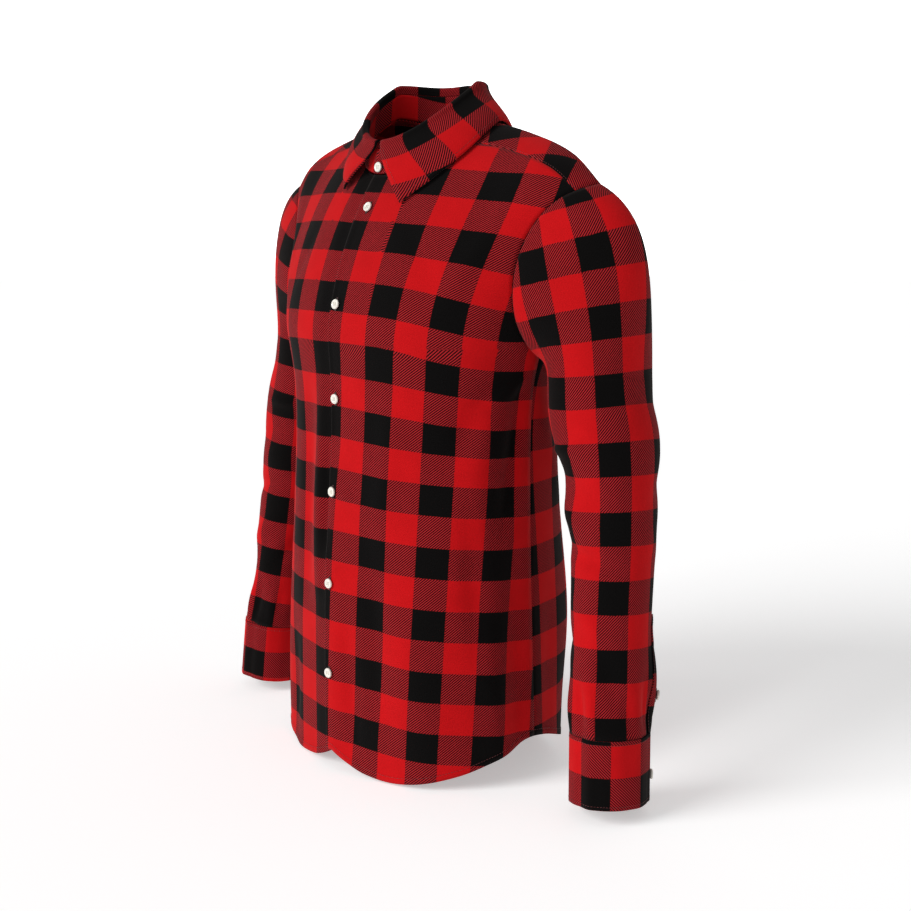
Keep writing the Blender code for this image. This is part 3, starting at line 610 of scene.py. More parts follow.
# %% Sizes and folds of a sleeve
Sleeve = namedtuple("Sleeve", "z x y side fore")
SLEEVE = (
    Sleeve(-0.645, 0.297, -0.008, 0.040, 0.042),
    Sleeve(-0.560, 0.286, 0.003, 0.041, 0.0435),
    Sleeve(-0.450, 0.277, 0.015, 0.0435, 0.0465),
    Sleeve(-0.385, 0.269, 0.021, 0.048, 0.052),
    Sleeve(-0.340, 0.258, 0.026, 0.053, 0.057),
    Sleeve(-0.305, 0.245, 0.028, 0.054, 0.058),
    Sleeve(-0.270, 0.240, 0.031, 0.052, 0.060),
)
SLEEVE_FOLDS = (
    Fold(-50, -0.555, -50, -0.630, 0.016, 0.007),
    Fold(-95, -0.560, -88, -0.640, 0.010, 0.005),
    Fold(150, -0.360, 60, -0.400, 0.014, -0.004),
    Fold(160, -0.400, 80, -0.430, 0.014, 0.004),
    Fold(165, -0.590, 150, -0.640, 0.014, 0.004),
    Fold(52, -0.555, 40, -0.625, 0.016, -0.006),
)
SMALL_SLEEVE_FOLDS = (
    Fold(150, -0.335, 70, -0.352, 0.007, 0.0030),
    Fold(140, -0.445, 40, -0.470, 0.009, -0.0039),
    Fold(190, -0.420, 235, -0.470, 0.011, -0.0045),
    Fold(200, -0.330, 240, -0.380, 0.012, 0.0042),
    Fold(20, -0.430, -30, -0.450, 0.012, 0.0021),
    Fold(-60, -0.370, -20, -0.400, 0.014, -0.0030),
    Fold(110, -0.505, 60, -0.540, 0.011, 0.0030),
    Fold(170, -0.520, 120, -0.560, 0.010, -0.0039),
    Fold(100, -0.590, 96, -0.645, 0.007, -0.0045),
    Fold(78, -0.600, 76, -0.645, 0.006, 0.0033),
    Fold(20, -0.605, 16, -0.645, 0.008, -0.0027),
    Fold(-15, -0.590, -20, -0.645, 0.008, -0.0036),
    Fold(-72, -0.585, -70, -0.645, 0.006, -0.0060),
    Fold(-34, -0.600, -33, -0.645, 0.005, -0.0039),
    Fold(225, -0.580, 230, -0.645, 0.008, -0.0042),
    Fold(130, -0.595, 128, -0.645, 0.007, 0.0033),
)
print("folds of a sleeve:", len(SLEEVE_FOLDS) + len(SMALL_SLEEVE_FOLDS))

# %% Rings of a sleeve
BICEP_Z = -0.270
WRIST_Z = -0.645
SLEEVE_FIRST_DEGREE = -100
DEGREE_LENGTH = 0.043 * pi / 180
RING_STEP = 0.004


def sleeve_middle(z):
    """The middle line of the sleeve."""
    return points(curve(SLEEVE, "x", z), curve(SLEEVE, "y", z), z)


def sleeve_ring(z, angle, lift=0.0):
    """Points lift outside the sleeve, angle 0 outward and 90 degrees in front, and its way down."""
    z, angle = np.broadcast_arrays(np.asarray(z, float), np.asarray(angle, float))
    down = unit(sleeve_middle(z - RING_STEP) - sleeve_middle(z + RING_STEP))
    outward = unit(np.array([1.0, 0.0, 0.0]) - down * down[..., :1])
    forward = np.cross(down, outward)
    reach = (outward * (curve(SLEEVE, "side", z) * np.cos(angle))[..., None]
             + forward * (curve(SLEEVE, "fore", z) * np.sin(angle))[..., None])
    degrees = (np.degrees(angle) - SLEEVE_FIRST_DEGREE) % 360 + SLEEVE_FIRST_DEGREE
    height = lift + fold_height(SLEEVE_FOLDS + SMALL_SLEEVE_FOLDS, degrees, z, DEGREE_LENGTH)
    return sleeve_middle(z) + reach + unit(reach) * height[..., None], down


print("outside of the wrist:", sleeve_ring(WRIST_Z, 0.0)[0].round(3))

# %% The sleeve's head
CAP_SLOPE_TOP = radians(24)
CAP_SLOPE_LOW = radians(60)
CAP_PULL_TOP = 0.085
CAP_PULL_LOW = 0.024
CAP_PULL_END = 0.33
CAP_PUFF_FRONT = 0.15
CAP_PUFF_BACK = 0.55
CAP_NEAR = 0.2
ARM_INSIDE = np.array([0.20, 0.0, -0.15])
ARM_COLUMNS = 2 * UPPER_ROWS + YOKE_ARM_FRONT + YOKE_ARM_BACK
ARM_PLACES = 481
SLEEVE_CAP = 8 / 24


def arm_place(column):
    """The armhole's edge by column, from the side seam up the front and down the back."""
    column = np.asarray(column, float) % ARM_COLUMNS
    tip = UPPER_ROWS + YOKE_ARM_FRONT
    behind = tip + YOKE_ARM_BACK
    stretches = (
        (column <= UPPER_ROWS, scye(column / UPPER_ROWS * FRONT_SHARE, True)),
        (column <= tip, scye(mix(FRONT_SHARE, 1.0, (column - UPPER_ROWS) / YOKE_ARM_FRONT), True)),
        (column <= behind, scye(mix(1.0, BACK_SHARE, (column - tip) / YOKE_ARM_BACK), False)),
    )
    place = scye((1 - (column - behind) / UPPER_ROWS) * BACK_SHARE, False)
    for here, edge in reversed(stretches):
        place = np.where(here[..., None], edge, place)
    return place


ARM_STEPS = np.linspace(0, ARM_COLUMNS, ARM_PLACES)
ARM_EDGE = arm_place(ARM_STEPS)
ARM_LENGTHS = length_of(vault(ARM_EDGE[:, 0], ARM_EDGE[:, 1]))
print("armhole round:", round(float(ARM_LENGTHS[-1]), 3))


def cap_start(column):
    """Where and in which direction the sleeve leaves the armhole at these columns."""
    place = arm_place(column)
    edge = vault(place[..., 0], place[..., 1])
    around = [vault(*np.moveaxis(arm_place(column + side), -1, 0))
              for side in (-CAP_NEAR, CAP_NEAR)]
    outward = unit(np.cross(form_normal(place[..., 0], place[..., 1]),
                            unit(around[1] - around[0])))
    inward = np.sum(outward * (ARM_INSIDE - edge), axis=-1, keepdims=True)
    outward = outward * np.where(inward < 0, -1, 1)
    angle = 2 * pi * np.interp(column, ARM_STEPS, ARM_LENGTHS) / ARM_LENGTHS[-1]
    low = (1 + np.cos(angle)) / 2
    slope = mix(CAP_SLOPE_TOP, CAP_SLOPE_LOW, low)
    puff = np.where(np.sin(angle) > 0, CAP_PUFF_FRONT, CAP_PUFF_BACK)
    leave = unit(points(np.cos(slope), -puff * np.sin(angle), -np.sin(slope)))
    half_turn = np.arccos(np.clip(np.sum(outward * leave, axis=-1), -1, 1)) / 2
    apart = CLOTH / 2 * np.tan(half_turn) + SEAM_GAP / np.cos(half_turn)
    return edge + (outward + leave) * apart[..., None], leave, low, angle


def sleeve_left(s, t):
    """The left sleeve, s round it from the seam under the arm, t from the armhole to the cuff."""
    start, leave, low, turn = cap_start(s * ARM_COLUMNS)
    angle = pi - turn
    below = np.maximum(t - SLEEVE_CAP, 0.0) / (1 - SLEEVE_CAP)
    tube = sleeve_ring(mix(BICEP_Z, WRIST_Z, below), angle)[0]
    end, down = sleeve_ring(BICEP_Z, angle)
    span = np.linalg.norm(end - start, axis=-1, keepdims=True)
    pull_out = mix(CAP_PULL_TOP, CAP_PULL_LOW, low)[..., None]
    share = np.minimum(t / SLEEVE_CAP, 1.0)[..., None]
    head = bezier(start, start + leave * pull_out, end - down * span * CAP_PULL_END, end, share)
    return np.where((t >= SLEEVE_CAP)[..., None], tube, head)


# %% Cuffs and sleeve plackets
CUFF_HEIGHT = 0.074
CUFF_GAP = 0.0006
CUFF_LAP_ANGLE = radians(-50)
CUFF_LAP = 0.022
PLACKET_LENGTH = 0.125
PLACKET_WIDTH = 0.024
PLACKET_POINT = 0.010
PLACKET_CLEAR = 0.0005


def cuff_left(s, t):
    """The left cuff, whose outer end laps over its inner one, t from its top to its end."""
    lap_angle = CUFF_LAP / float(curve(SLEEVE, "side", WRIST_Z))
    angle = CUFF_LAP_ANGLE + mix(-lap_angle / 2, 2 * pi + lap_angle / 2, s)
    place, down = sleeve_ring(WRIST_Z, angle, LAP_STEP * (0.5 - ease(0.0, 1.0, s)))
    return place + down * (CUFF_GAP + CUFF_HEIGHT * t)[..., None]


def placket_left(s, t):
    """The pointed strip that finishes the slit of the left sleeve, t from the cuff up."""
    z = WRIST_Z + SEAM_GAP + t * (PLACKET_LENGTH - PLACKET_POINT * np.abs(2 * s - 1))
    half_angle = PLACKET_WIDTH / 2 / float(curve(SLEEVE, "fore", WRIST_Z))
    angle = CUFF_LAP_ANGLE + mix(-half_angle, half_angle, s)
    return sleeve_ring(z, angle, CLOTH + PLACKET_CLEAR)[0]


def mirrored(place):
    """The same piece on the wearer's other side."""
    return lambda s, t: place(s, t) * np.array([-1, 1, 1])


print("tip of the placket:", placket_left(np.array([0.5]), np.ones(1))[0].round(3))

# %% [markdown]
# ## Collar
#
# A shirt collar is two pieces. The stand is a band that rises from the neck seam and buttons in
# front. The leaf is sewn to its top, rolls over and lies on the shoulders, and its two points
# fall apart in front of the button. A collar is stiff and keeps a known profile, so it is drawn as
# one: straight up, half a turn, and a Bezier curve down to an edge that lies on the shoulders.

# %% The collar stand
STAND_FRONT = 0.027
STAND_SIDE = 0.026
STAND_BACK = 0.038
STAND_LEAN = 0.12
STAND_LAP = 0.0095
STAND_END_ROUND = 0.012
FOOT_LIFT = 0.0018
LAP_TURN_IN = 0.5
LAP_TURN_OUT = 0.05


def stand_edge(turn):
    """Foot, rise, height and outward way of the stand, turn -1 at its right end to 1 at its left."""
    angle = pi - turn * (pi + STAND_LAP / NECK_HALF_DEPTH)
    place = neck_place(angle)
    foot = vault(place[..., 0], place[..., 1])
    outward = unit(points(np.sin(angle) * NECK_HALF_DEPTH, -np.cos(angle) * NECK_HALF_WIDTH, 0))
    rise = unit(np.array([0.0, 0.0, 1.0]) - outward * STAND_LEAN)
    tall = np.where(np.cos(angle) > 0, STAND_FRONT, STAND_BACK)
    height = mix(STAND_SIDE, tall, np.cos(angle) ** 2)[..., None]
    lapped = ease(pi - LAP_TURN_IN, pi + LAP_TURN_OUT, np.abs(angle - pi))
    shift = outward * (LAP_STEP / 2 * np.where(turn > 0, 1, -1) * lapped)[..., None]
    return foot + shift + rise * FOOT_LIFT, rise, height, outward


def collar_stand(s, t):
    """The collar stand, s from its right end under the lap to its left one, t from foot to top."""
    turn = 2 * s - 1
    foot, rise, height, _ = stand_edge(turn)
    past_end = (1 - np.abs(turn)) * pi * NECK_HALF_DEPTH
    inward = np.clip(STAND_END_ROUND - past_end, 0.0, STAND_END_ROUND)
    corner = STAND_END_ROUND - np.sqrt(STAND_END_ROUND ** 2 - inward ** 2)
    return foot + rise * (height - corner[..., None]) * t[..., None]


print("collar stand foot, behind:", stand_edge(np.zeros(1))[0].round(3))

# %% The collar leaf
ROLL_RISE = 0.006
ROLL_RADIUS = 0.0032
LEAF_BOW = 0.006
LEAF_BOW_RISE = 0.6
LEAF_BOW_PLACE = 0.35
LEAF_FALL_PULL = 0.2
LEAF_RIGHT_SHARE = 0.91
LEAF_RIGHT_TURN = 0.6
LEAF_ROLLED = 4 / 9
LEAF_STRAIGHT = 1 / 4
LEAF_END = 30 / 32
LEAF_LIFT = 0.004
LEAF_PLACES = 601
LeafEdge = namedtuple("LeafEdge", "round x y")
LEAF_EDGE = (
    LeafEdge(-0.25, -0.070, 0.065),
    LeafEdge(0.00, 0.000, 0.092),
    LeafEdge(0.25, 0.070, 0.065),
    LeafEdge(0.45, 0.100, 0.022),
    LeafEdge(0.65, 0.104, -0.025),
    LeafEdge(0.85, 0.082, -0.064),
    LeafEdge(1.00, 0.054, -0.088),
)


def worn_edge(turn):
    """The free edge of the collar leaf, over the shoulders."""
    around = np.abs(turn)
    reach = mix(1.0, LEAF_RIGHT_SHARE, ease(0.0, LEAF_RIGHT_TURN, -turn))
    place = vault_place(curve(LEAF_EDGE, "x", around) * reach, curve(LEAF_EDGE, "y", around) * reach)
    edge = vault(place[..., 0], place[..., 1])
    edge = edge + form_normal(place[..., 0], place[..., 1]) * LEAF_LIFT
    edge[..., 0] *= np.where(turn < 0, -1, 1)
    return edge


LEAF_TURNS = np.linspace(-1, 1, LEAF_PLACES)
LEAF_LINE = worn_edge(LEAF_TURNS)


def collar_leaf(s, t):
    """The collar leaf, s from the right point to the left one, t from the stand over the roll."""
    turn = 2 * s - 1
    foot, rise, height, outward = stand_edge(turn * LEAF_END)
    start = foot + rise * (height + SEAM_GAP)
    centre = start + rise * ROLL_RISE + outward * ROLL_RADIUS
    rolled = np.minimum(t / LEAF_ROLLED, 1.0)
    up = start + rise * ROLL_RISE * np.minimum(rolled / LEAF_STRAIGHT, 1.0)[..., None]
    angle = pi * np.maximum(rolled - LEAF_STRAIGHT, 0.0)[..., None] / (1 - LEAF_STRAIGHT)
    roll = centre - outward * ROLL_RADIUS * np.cos(angle) + rise * ROLL_RADIUS * np.sin(angle)
    begin = centre + outward * ROLL_RADIUS
    end = along_line(LEAF_TURNS, LEAF_LINE, turn)
    span = np.linalg.norm(end - begin, axis=-1, keepdims=True)
    bow = (outward + np.array([0.0, 0.0, LEAF_BOW_RISE])) * LEAF_BOW
    fall = bezier(begin, begin - rise * span * LEAF_FALL_PULL, mix(end, begin, LEAF_BOW_PLACE) + bow,
                  end, (np.maximum(t - LEAF_ROLLED, 0.0) / (1 - LEAF_ROLLED))[..., None])
    over_roll = np.where((rolled < LEAF_STRAIGHT)[..., None], up, roll)
    return np.where((t <= LEAF_ROLLED)[..., None], over_roll, fall)


print("left point of the collar:", collar_leaf(np.ones(1), np.ones(1))[0].round(3))

# %% [markdown]
# ## The flat cut of each panel
#
# A panel starts as a flat piece of checked cloth, and the check has to run over the worn form the
# way it would on that piece. The grid's own shares would squeeze the check wherever the panel
# narrows, so each panel is flattened again. A grid of cells is laid on it, each cell is turned as
# it is, without stretch, and the turned cells are pulled together until they fit. This is the
# as-rigid-as-possible method, and what it gives is the cut, in metres.

# %% The cells of a panel
CUT_CORNERS = ((0, 0), (1, 0), (1, 1), (0, 1))


def grid_shares(columns, rows):
    """The shares s and t of every place of a grid, as arrays with t first."""
    return np.meshgrid(np.linspace(0, 1, columns + 1), np.linspace(0, 1, rows + 1))


def flat_cells(spots):
    """The four corners of every cell, laid flat about the cell's middle."""
    rows, columns = spots.shape[0] - 1, spots.shape[1] - 1
    corners = np.stack([spots[down:down + rows, over:over + columns]
                        for over, down in CUT_CORNERS], axis=2)
    corners = corners - corners.mean(axis=2, keepdims=True)
    along = unit(corners[:, :, 1] - corners[:, :, 0] + corners[:, :, 2] - corners[:, :, 3])
    up = corners[:, :, 3] - corners[:, :, 0] + corners[:, :, 2] - corners[:, :, 1]
    up = unit(up - along * np.sum(up * along, axis=-1, keepdims=True))
    return np.stack([np.einsum("rckx,rcx->rck", corners, along),
                     np.einsum("rckx,rcx->rck", corners, up)], axis=-1)


print("cells of a coarse sleeve:", flat_cells(sleeve_left(*grid_shares(12, 15))).shape[:2])

# %% Pulling the cells together
CUT_TURNS = 60
EDGE_PULL = 50.0


def flatten(place, columns, rows, straight_edge):
    """A panel laid flat, as an array of u and v over its grid. A straight edge is s = 0."""
    s, t = grid_shares(columns, rows)
    spots = place(s, t)
    cells = flat_cells(spots)
    number = np.arange(s.size).reshape(s.shape)
    corner = np.stack([number[down:down + rows, over:over + columns]
                       for over, down in CUT_CORNERS], axis=2).reshape(-1, 4)
    # Each cell pulls its four corners to their places about its own middle.
    weights = np.zeros((s.size, s.size))
    for one in range(4):
        for other in range(4):
            np.add.at(weights, (corner[:, one], corner[:, other]), 3.0 if one == other else -1.0)
    # One corner is held, because the pulls alone would leave the whole cut free to slide.
    weights[0, 0] += 1.0
    edge_pull = np.zeros(s.size)
    edge_pull[number[:, 0]] = EDGE_PULL if straight_edge else 0.0
    inverse_u = np.linalg.inv(weights + np.diag(edge_pull))
    inverse_v = np.linalg.inv(weights)
    middle = rows // 2
    along = length_of(spots[middle])
    up = length_of(spots[:, columns // 2])
    flat = np.stack(np.broadcast_arrays(along[None, :], up[:, None]), axis=-1).reshape(-1, 2)
    cells = cells.reshape(-1, 4, 2)
    for _ in range(CUT_TURNS):
        now = flat[corner] - flat[corner].mean(axis=1, keepdims=True)
        cosine = np.sum(now * cells, axis=(1, 2))
        sine = np.sum(now[..., 1] * cells[..., 0] - now[..., 0] * cells[..., 1], axis=1)
        size = np.hypot(cosine, sine)
        turn = np.stack([np.stack([cosine, -sine], -1), np.stack([sine, cosine], -1)], 1)
        turned = np.einsum("cij,ckj->cki", turn / size[:, None, None], cells)
        pulls = np.zeros_like(flat)
        for one in range(4):
            np.add.at(pulls, corner[:, one], 4 * turned[:, one])
        flat = np.stack([inverse_u @ pulls[:, 0], inverse_v @ pulls[:, 1]], axis=-1)
    return flat.reshape(*s.shape, 2)


print("turns of pulling for each cut:", CUT_TURNS)

# %% The cut of a panel or a strip
Cut = namedtuple("Cut", "uv width length area")


def spread(values, s, t):
    """Values of a coarse grid at the shares s and t, blended between its places."""
    rows, columns = values.shape[0] - 1, values.shape[1] - 1
    over = np.clip((s * columns).astype(int), 0, columns - 1)
    down = np.clip((t * rows).astype(int), 0, rows - 1)
    part_s = (s * columns - over)[:, None]
    part_t = (t * rows - down)[:, None]
    low = mix(values[down, over], values[down, over + 1], part_s)
    high = mix(values[down + 1, over], values[down + 1, over + 1], part_s)
    return mix(low, high, part_t)


def cut_of(place, columns, rows, grain, straight_edge=False):
    """The cut of a panel, turned so that the thread between the two grain places runs up."""
    flat = flatten(place, columns, rows, straight_edge)
    ends = spread(flat, *np.array(grain).T)
    way = ends[1] - ends[0]
    way = way / np.hypot(*way)
    turned = flat @ np.array([[way[1], way[0]], [-way[0], way[1]]])
    ring = np.concatenate([turned[0], turned[1:, -1], turned[-1, -2::-1], turned[-2:0:-1, 0]])
    after = np.roll(ring, -1, axis=0)
    area = abs(np.sum(ring[:, 0] * after[:, 1] - ring[:, 1] * after[:, 0])) / 2
    size = np.ptp(turned.reshape(-1, 2), axis=0)
    return Cut(turned, float(size[0]), float(size[1]), float(area))


def strip_of(place, columns, rows, middle):
    """The cut of a long strip that is bent or eased along its length, as a straight strip."""
    s, t = grid_shares(columns, rows)
    spots = place(s, t)
    along = length_of(spots[round(middle * rows)])
    up = np.concatenate([np.zeros((1, columns + 1)),
                         np.cumsum(np.linalg.norm(np.diff(spots, axis=0), axis=-1), axis=0)])
    flat = np.stack(np.broadcast_arrays(along[None, :], up), axis=-1)
    area = float(np.sum((up[-1, 1:] + up[-1, :-1]) / 2 * np.diff(along)))
    return Cut(flat, float(along[-1]), float(up.max()), area)


front_cut = cut_of(front_left, columns=24, rows=40, grain=CENTRE_FRONT, straight_edge=True)
print("a front is cut", round(front_cut.width, 3), "m wide and", round(front_cut.length, 3), "long")

# %% Laying a cut on the check
PERIOD = 0.070
CHEST_SWING = 0.034
CHEST_DROP = 0.012
SWING_OUT = (0.0, 0.28)
SWING_UP = (0.12, 0.32)
DROP_OUT = (0.08, 0.25)
DROP_FROM = (-0.06, 0.08)
DROP_TO = (0.17, 0.25)


def on_check(cut, origin, phase, lean=0.0, shrink=(1.0, 1.0), flip=(1, 1), across=False):
    """The cut laid on the check with its place origin at phase, leant by lean degrees, shrunk,
    flipped so that u runs right and v up as seen from outside, or turned across the grain."""
    flat = (cut.uv - spread(cut.uv, np.array([origin[0]]), np.array([origin[1]]))[0]) * flip
    c, s = np.cos(radians(lean)), np.sin(radians(lean))
    laid = (flat @ np.array([[c, s], [-s, c]])) * shrink + phase
    if across:
        laid = laid[..., ::-1] * (1, -1) + (0, PERIOD / 2)
    return cut._replace(uv=laid)


def drawn_over_chest(cut, side):
    """The cut of a front with its check swung out and lowered where the chest draws the cloth."""
    u, v = cut.uv[..., 0], cut.uv[..., 1]
    swing = ease(*SWING_OUT, side * u) * ease(*SWING_UP, v)
    drop = ease(*DROP_OUT, side * u) * ease(*DROP_FROM, v) * (1 - ease(*DROP_TO, v))
    moved = np.stack((u - side * CHEST_SWING * swing, v + CHEST_DROP * drop), axis=-1)
    return cut._replace(uv=moved)


print("bands of the check:", PERIOD / 2, "m")

# %% [markdown]
# ## Making a sheet of cloth
#
# Cut cloth is a thin sheet of even thickness, doubled where it is turned in. Here it is a grid made
# by one operator, moved to its panel's form and given its cut as UV coordinates in metres. The
# thin wall comes from a Solidify modifier, because two walls made by hand would drift apart. A
# group of weights makes it thicker at hems and edges, which have two layers.

# %% Sheets
# SINGLE is the weight in the group that stands for one layer, so a weight of 1 is two layers.
SINGLE = 0.5
MIRROR = (-1, 1)
HALF_TURN = (-1, -1)
Sheet = namedtuple("Sheet", "piece place cut facing")
sheets = {}


def new_piece(name, shape, material, places=None):
    """Take a bmesh as a new smooth piece that rides with the shirt. places moves its vertices."""
    mesh = bpy.data.meshes.new(name)
    shape.to_mesh(mesh)
    shape.free()
    if places is not None:
        mesh.vertices.foreach_set("co", places.ravel())
        mesh.update()
    mesh.shade_smooth()
    mesh.materials.append(material)
    piece = bpy.data.objects.new(name, mesh)
    bpy.context.scene.collection.objects.link(piece)
    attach(piece, "root")
    return piece


def add_sheet(node, place, columns, rows, cut, facing, layers, short=(0, 0, 0, 0), tube=False):
    """Make a sheet at place(s, t). facing is 1 where s across t points out of the shirt, layers
    the wall in single layers, short the shares to stop short at left, right, bottom and top."""
    shape = bmesh.new()
    bmesh.ops.create_grid(shape, x_segments=columns, y_segments=rows, size=0.5)
    grid = np.array([vertex.co for vertex in shape.verts])
    s = np.round((grid[:, 0] + 0.5) * columns) / columns
    t = np.round((grid[:, 1] + 0.5) * rows) / rows
    spots = place(np.clip(s, short[0], 1 - short[1]), np.clip(t, short[2], 1 - short[3]))
    flat = spread(cut.uv, s, t)
    weights = np.clip(layers(s, t) * SINGLE, 0.0, 1.0)
    chart = shape.loops.layers.uv.new("cloth")
    group = shape.verts.layers.deform.verify()
    for vertex, spot, weight in zip(shape.verts, spots, weights):
        vertex.co = spot
        vertex[group][0] = weight
    for face in shape.faces:
        for loop in face.loops:
            loop[chart].uv = flat[loop.vert.index]
    if tube:
        ends = [vertex for vertex, share in zip(shape.verts, s) if share in (0.0, 1.0)]
        bmesh.ops.remove_doubles(shape, verts=ends, dist=1e-5)
    bmesh.ops.recalc_face_normals(shape, faces=shape.faces)
    piece = new_piece("cloth_" + node, shape, flannel)
    piece.vertex_groups.new(name="layers")
    wall = piece.modifiers.new("wall", "SOLIDIFY")
    wall.thickness = CLOTH / SINGLE
    wall.offset = 0
    wall.vertex_group = "layers"
    wall.thickness_vertex_group = 0
    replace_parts(piece, node)
    sheets[node] = Sheet(piece, place, cut, facing)


print("one layer of cloth:", CLOTH, "m")

# %% [markdown]
# ## Brushed flannel
#
# Flannel is cotton yarn woven in a twill and then brushed, which raises a soft nap. Here red and
# black bands of the same width cross each other. Where two like bands cross, the square is plain.
# Where red crosses black, the twill shows as diagonal lines, because each thread floats over two
# others. A picture of the check would blur close by, and real threads would be millions of faces,
# so nodes work the pattern out from the cut, in metres. It bends and stretches with the cloth.

# %% Nodes and colours
def from_hex(code):
    """An sRGB hex colour as linear red, green, blue and alpha."""
    values = [int(code[place:place + 2], 16) / 255 for place in (0, 2, 4)]
    linear = [v / 12.92 if v <= 0.04045 else ((v + 0.055) / 1.055) ** 2.4 for v in values]
    return (*linear, 1.0)


def add_node(tree, kind, inputs=None, **settings):
    """Add a node with its settings. inputs holds the value or the source socket of each input.
    It gives the node's output."""
    node = tree.nodes.new(kind)
    for name, value in settings.items():
        setattr(node, name, value)
    for place, value in (inputs or {}).items():
        if isinstance(value, bpy.types.NodeSocket):
            tree.links.new(value, node.inputs[place])
        else:
            node.inputs[place].default_value = value
    return next(socket for socket in node.outputs if socket.enabled)


print("red in linear light:", [round(value, 3) for value in from_hex("bc0e13")])

# %% Sizes and colours of the weave
RED = from_hex("bc0e13")
BLACK = from_hex("070606")
LINE_DARK = from_hex("1e0203")
LINE_PALE = from_hex("b4242a")
BLOOM = from_hex("fff0ec")
# The real twill has a line every 1.2 mm along a thread. It is drawn at 3.05 mm so that it shows.
TWILL_PITCH = 0.00305
RIB_EDGE = 0.7
LINE_THINNING = 2.0
# The brushed edge of a band wanders by about a millimetre and is a little blurred.
FRAY = 0.0013
BAND_BLUR = 0.00035
# The nap's fibres are far finer than this, so it is drawn as tufts of 1.6 mm that show.
NAP_PITCH = 0.0016
# Brushing and washing leave faint clouds of about 30 mm.
CLOUD_PITCH = 0.030
BASE_SHADE = 0.80
NAP_SHADE = 0.22
CLOUD_SHADE = 0.18
PLAIN_RELIEF = 0.3
MIXED_RELIEF = 0.7
RELIEF_DEPTH = 0.0004
print("lines of the twill in a band:", round(PERIOD / 2 / TWILL_PITCH, 1))


# %% The flannel
# Cotton flannel is dull and soft: no gloss, and a pale bloom where the nap is seen from the side.
def flannel_material():
    """Red and black buffalo check, woven in a twill and brushed."""
    material = bpy.data.materials.new("red_and_black_flannel")
    material.use_nodes = True
    tree = material.node_tree
    add = partial(add_node, tree)
    number, blend, noise = "ShaderNodeMath", "ShaderNodeMix", "ShaderNodeTexNoise"

    chart = add("ShaderNodeUVMap", uv_map="cloth")
    fray = add(noise, {"Vector": chart, "Scale": 1 / FRAY, "Detail": 2.0}, noise_dimensions="2D")
    shift = add(number, {0: fray, 1: FRAY, 2: -FRAY / 2}, operation="MULTIPLY_ADD")
    u, v, _ = add("ShaderNodeSeparateXYZ", {0: chart}).node.outputs
    edge = sin(2 * pi * BAND_BLUR / PERIOD)
    blacks = []
    for side in (u, v):
        along = add(number, {0: side, 1: shift}, operation="ADD")
        turn = add(number, {0: along, 1: 2 * pi / PERIOD}, operation="MULTIPLY")
        wave = add(number, {0: turn}, operation="SINE")
        blacks.append(add("ShaderNodeMapRange",
                          {"Value": wave, "From Min": -edge, "From Max": edge}))
    warp_black, weft_black = blacks

    diagonal = add(number, {0: v, 1: u}, operation="SUBTRACT")
    turn = add(number, {0: diagonal, 1: 2 * pi / TWILL_PITCH}, operation="MULTIPLY")
    ribs = add(number, {0: turn}, operation="SINE")
    warp_on_top = add("ShaderNodeMapRange",
                      {"Value": ribs, "From Min": -RIB_EDGE, "From Max": RIB_EDGE})
    weft_on_top = add(number, {0: 1.0, 1: warp_on_top}, operation="SUBTRACT")
    red_on_top = add(blend, {"Factor": warp_black, "A": warp_on_top, "B": weft_on_top})
    pale_line = add(number, {0: red_on_top, 1: LINE_THINNING}, operation="POWER")

    both_black = add(number, {0: warp_black, 1: weft_black}, operation="MULTIPLY")
    apart = add(number, {0: warp_black, 1: weft_black}, operation="SUBTRACT")
    mixed = add(number, {0: apart}, operation="ABSOLUTE")
    plain = add(blend, {0: both_black, 6: RED, 7: BLACK}, data_type="RGBA")
    lines = add(blend, {0: pale_line, 6: LINE_DARK, 7: LINE_PALE}, data_type="RGBA")
    woven = add(blend, {0: mixed, 6: plain, 7: lines}, data_type="RGBA")

    nap = add(noise, {"Vector": chart, "Scale": 1 / NAP_PITCH, "Detail": 3.0, "Roughness": 0.6},
              noise_dimensions="2D")
    cloud = add(noise, {"Vector": chart, "Scale": 1 / CLOUD_PITCH, "Detail": 2.0},
                noise_dimensions="2D")
    shade = add(number, {0: nap, 1: NAP_SHADE, 2: BASE_SHADE}, operation="MULTIPLY_ADD")
    shade = add(number, {0: cloud, 1: CLOUD_SHADE, 2: shade}, operation="MULTIPLY_ADD")
    tone = add("ShaderNodeCombineXYZ", {0: shade, 1: shade, 2: shade})
    colour = add(blend, {0: 1.0, 6: woven, 7: tone}, data_type="RGBA", blend_type="MULTIPLY")

    relief = add(number, {0: mixed, 1: MIXED_RELIEF, 2: PLAIN_RELIEF}, operation="MULTIPLY_ADD")
    height = add(number, {0: warp_on_top, 1: relief, 2: nap}, operation="MULTIPLY_ADD")
    bump = add("ShaderNodeBump", {"Strength": 0.35, "Distance": RELIEF_DEPTH, "Height": height})
    shader = tree.nodes["Principled BSDF"]
    tree.links.new(colour, shader.inputs["Base Color"])
    tree.links.new(bump, shader.inputs["Normal"])
    shader.inputs["Roughness"].default_value = 0.92
    shader.inputs["Specular IOR Level"].default_value = 0.06
    shader.inputs["Sheen Weight"].default_value = 0.045
    shader.inputs["Sheen Roughness"].default_value = 0.5
    shader.inputs["Sheen Tint"].default_value = BLOOM
    return material


flannel = flannel_material()
print("nodes of the flannel:", len(flannel.node_tree.nodes))

# %% [markdown]
# ## Cutting and sewing the pieces
#
# A cutter lays each pattern piece on the checked cloth with care, because a check that is off shows
# at once. The fronts, the back and the sleeves are cut with the thread running up and down, and
# the cuffs across, which turns the lines of the twill. Chance would do for a plain cloth, but here
# each piece states its `phase`: where its own origin lies in the check, in metres.

# %% Layers of cloth
FOLDED_EDGE = (0.03, 0.06)
FOLDED_HEM = (0.008, 0.012)


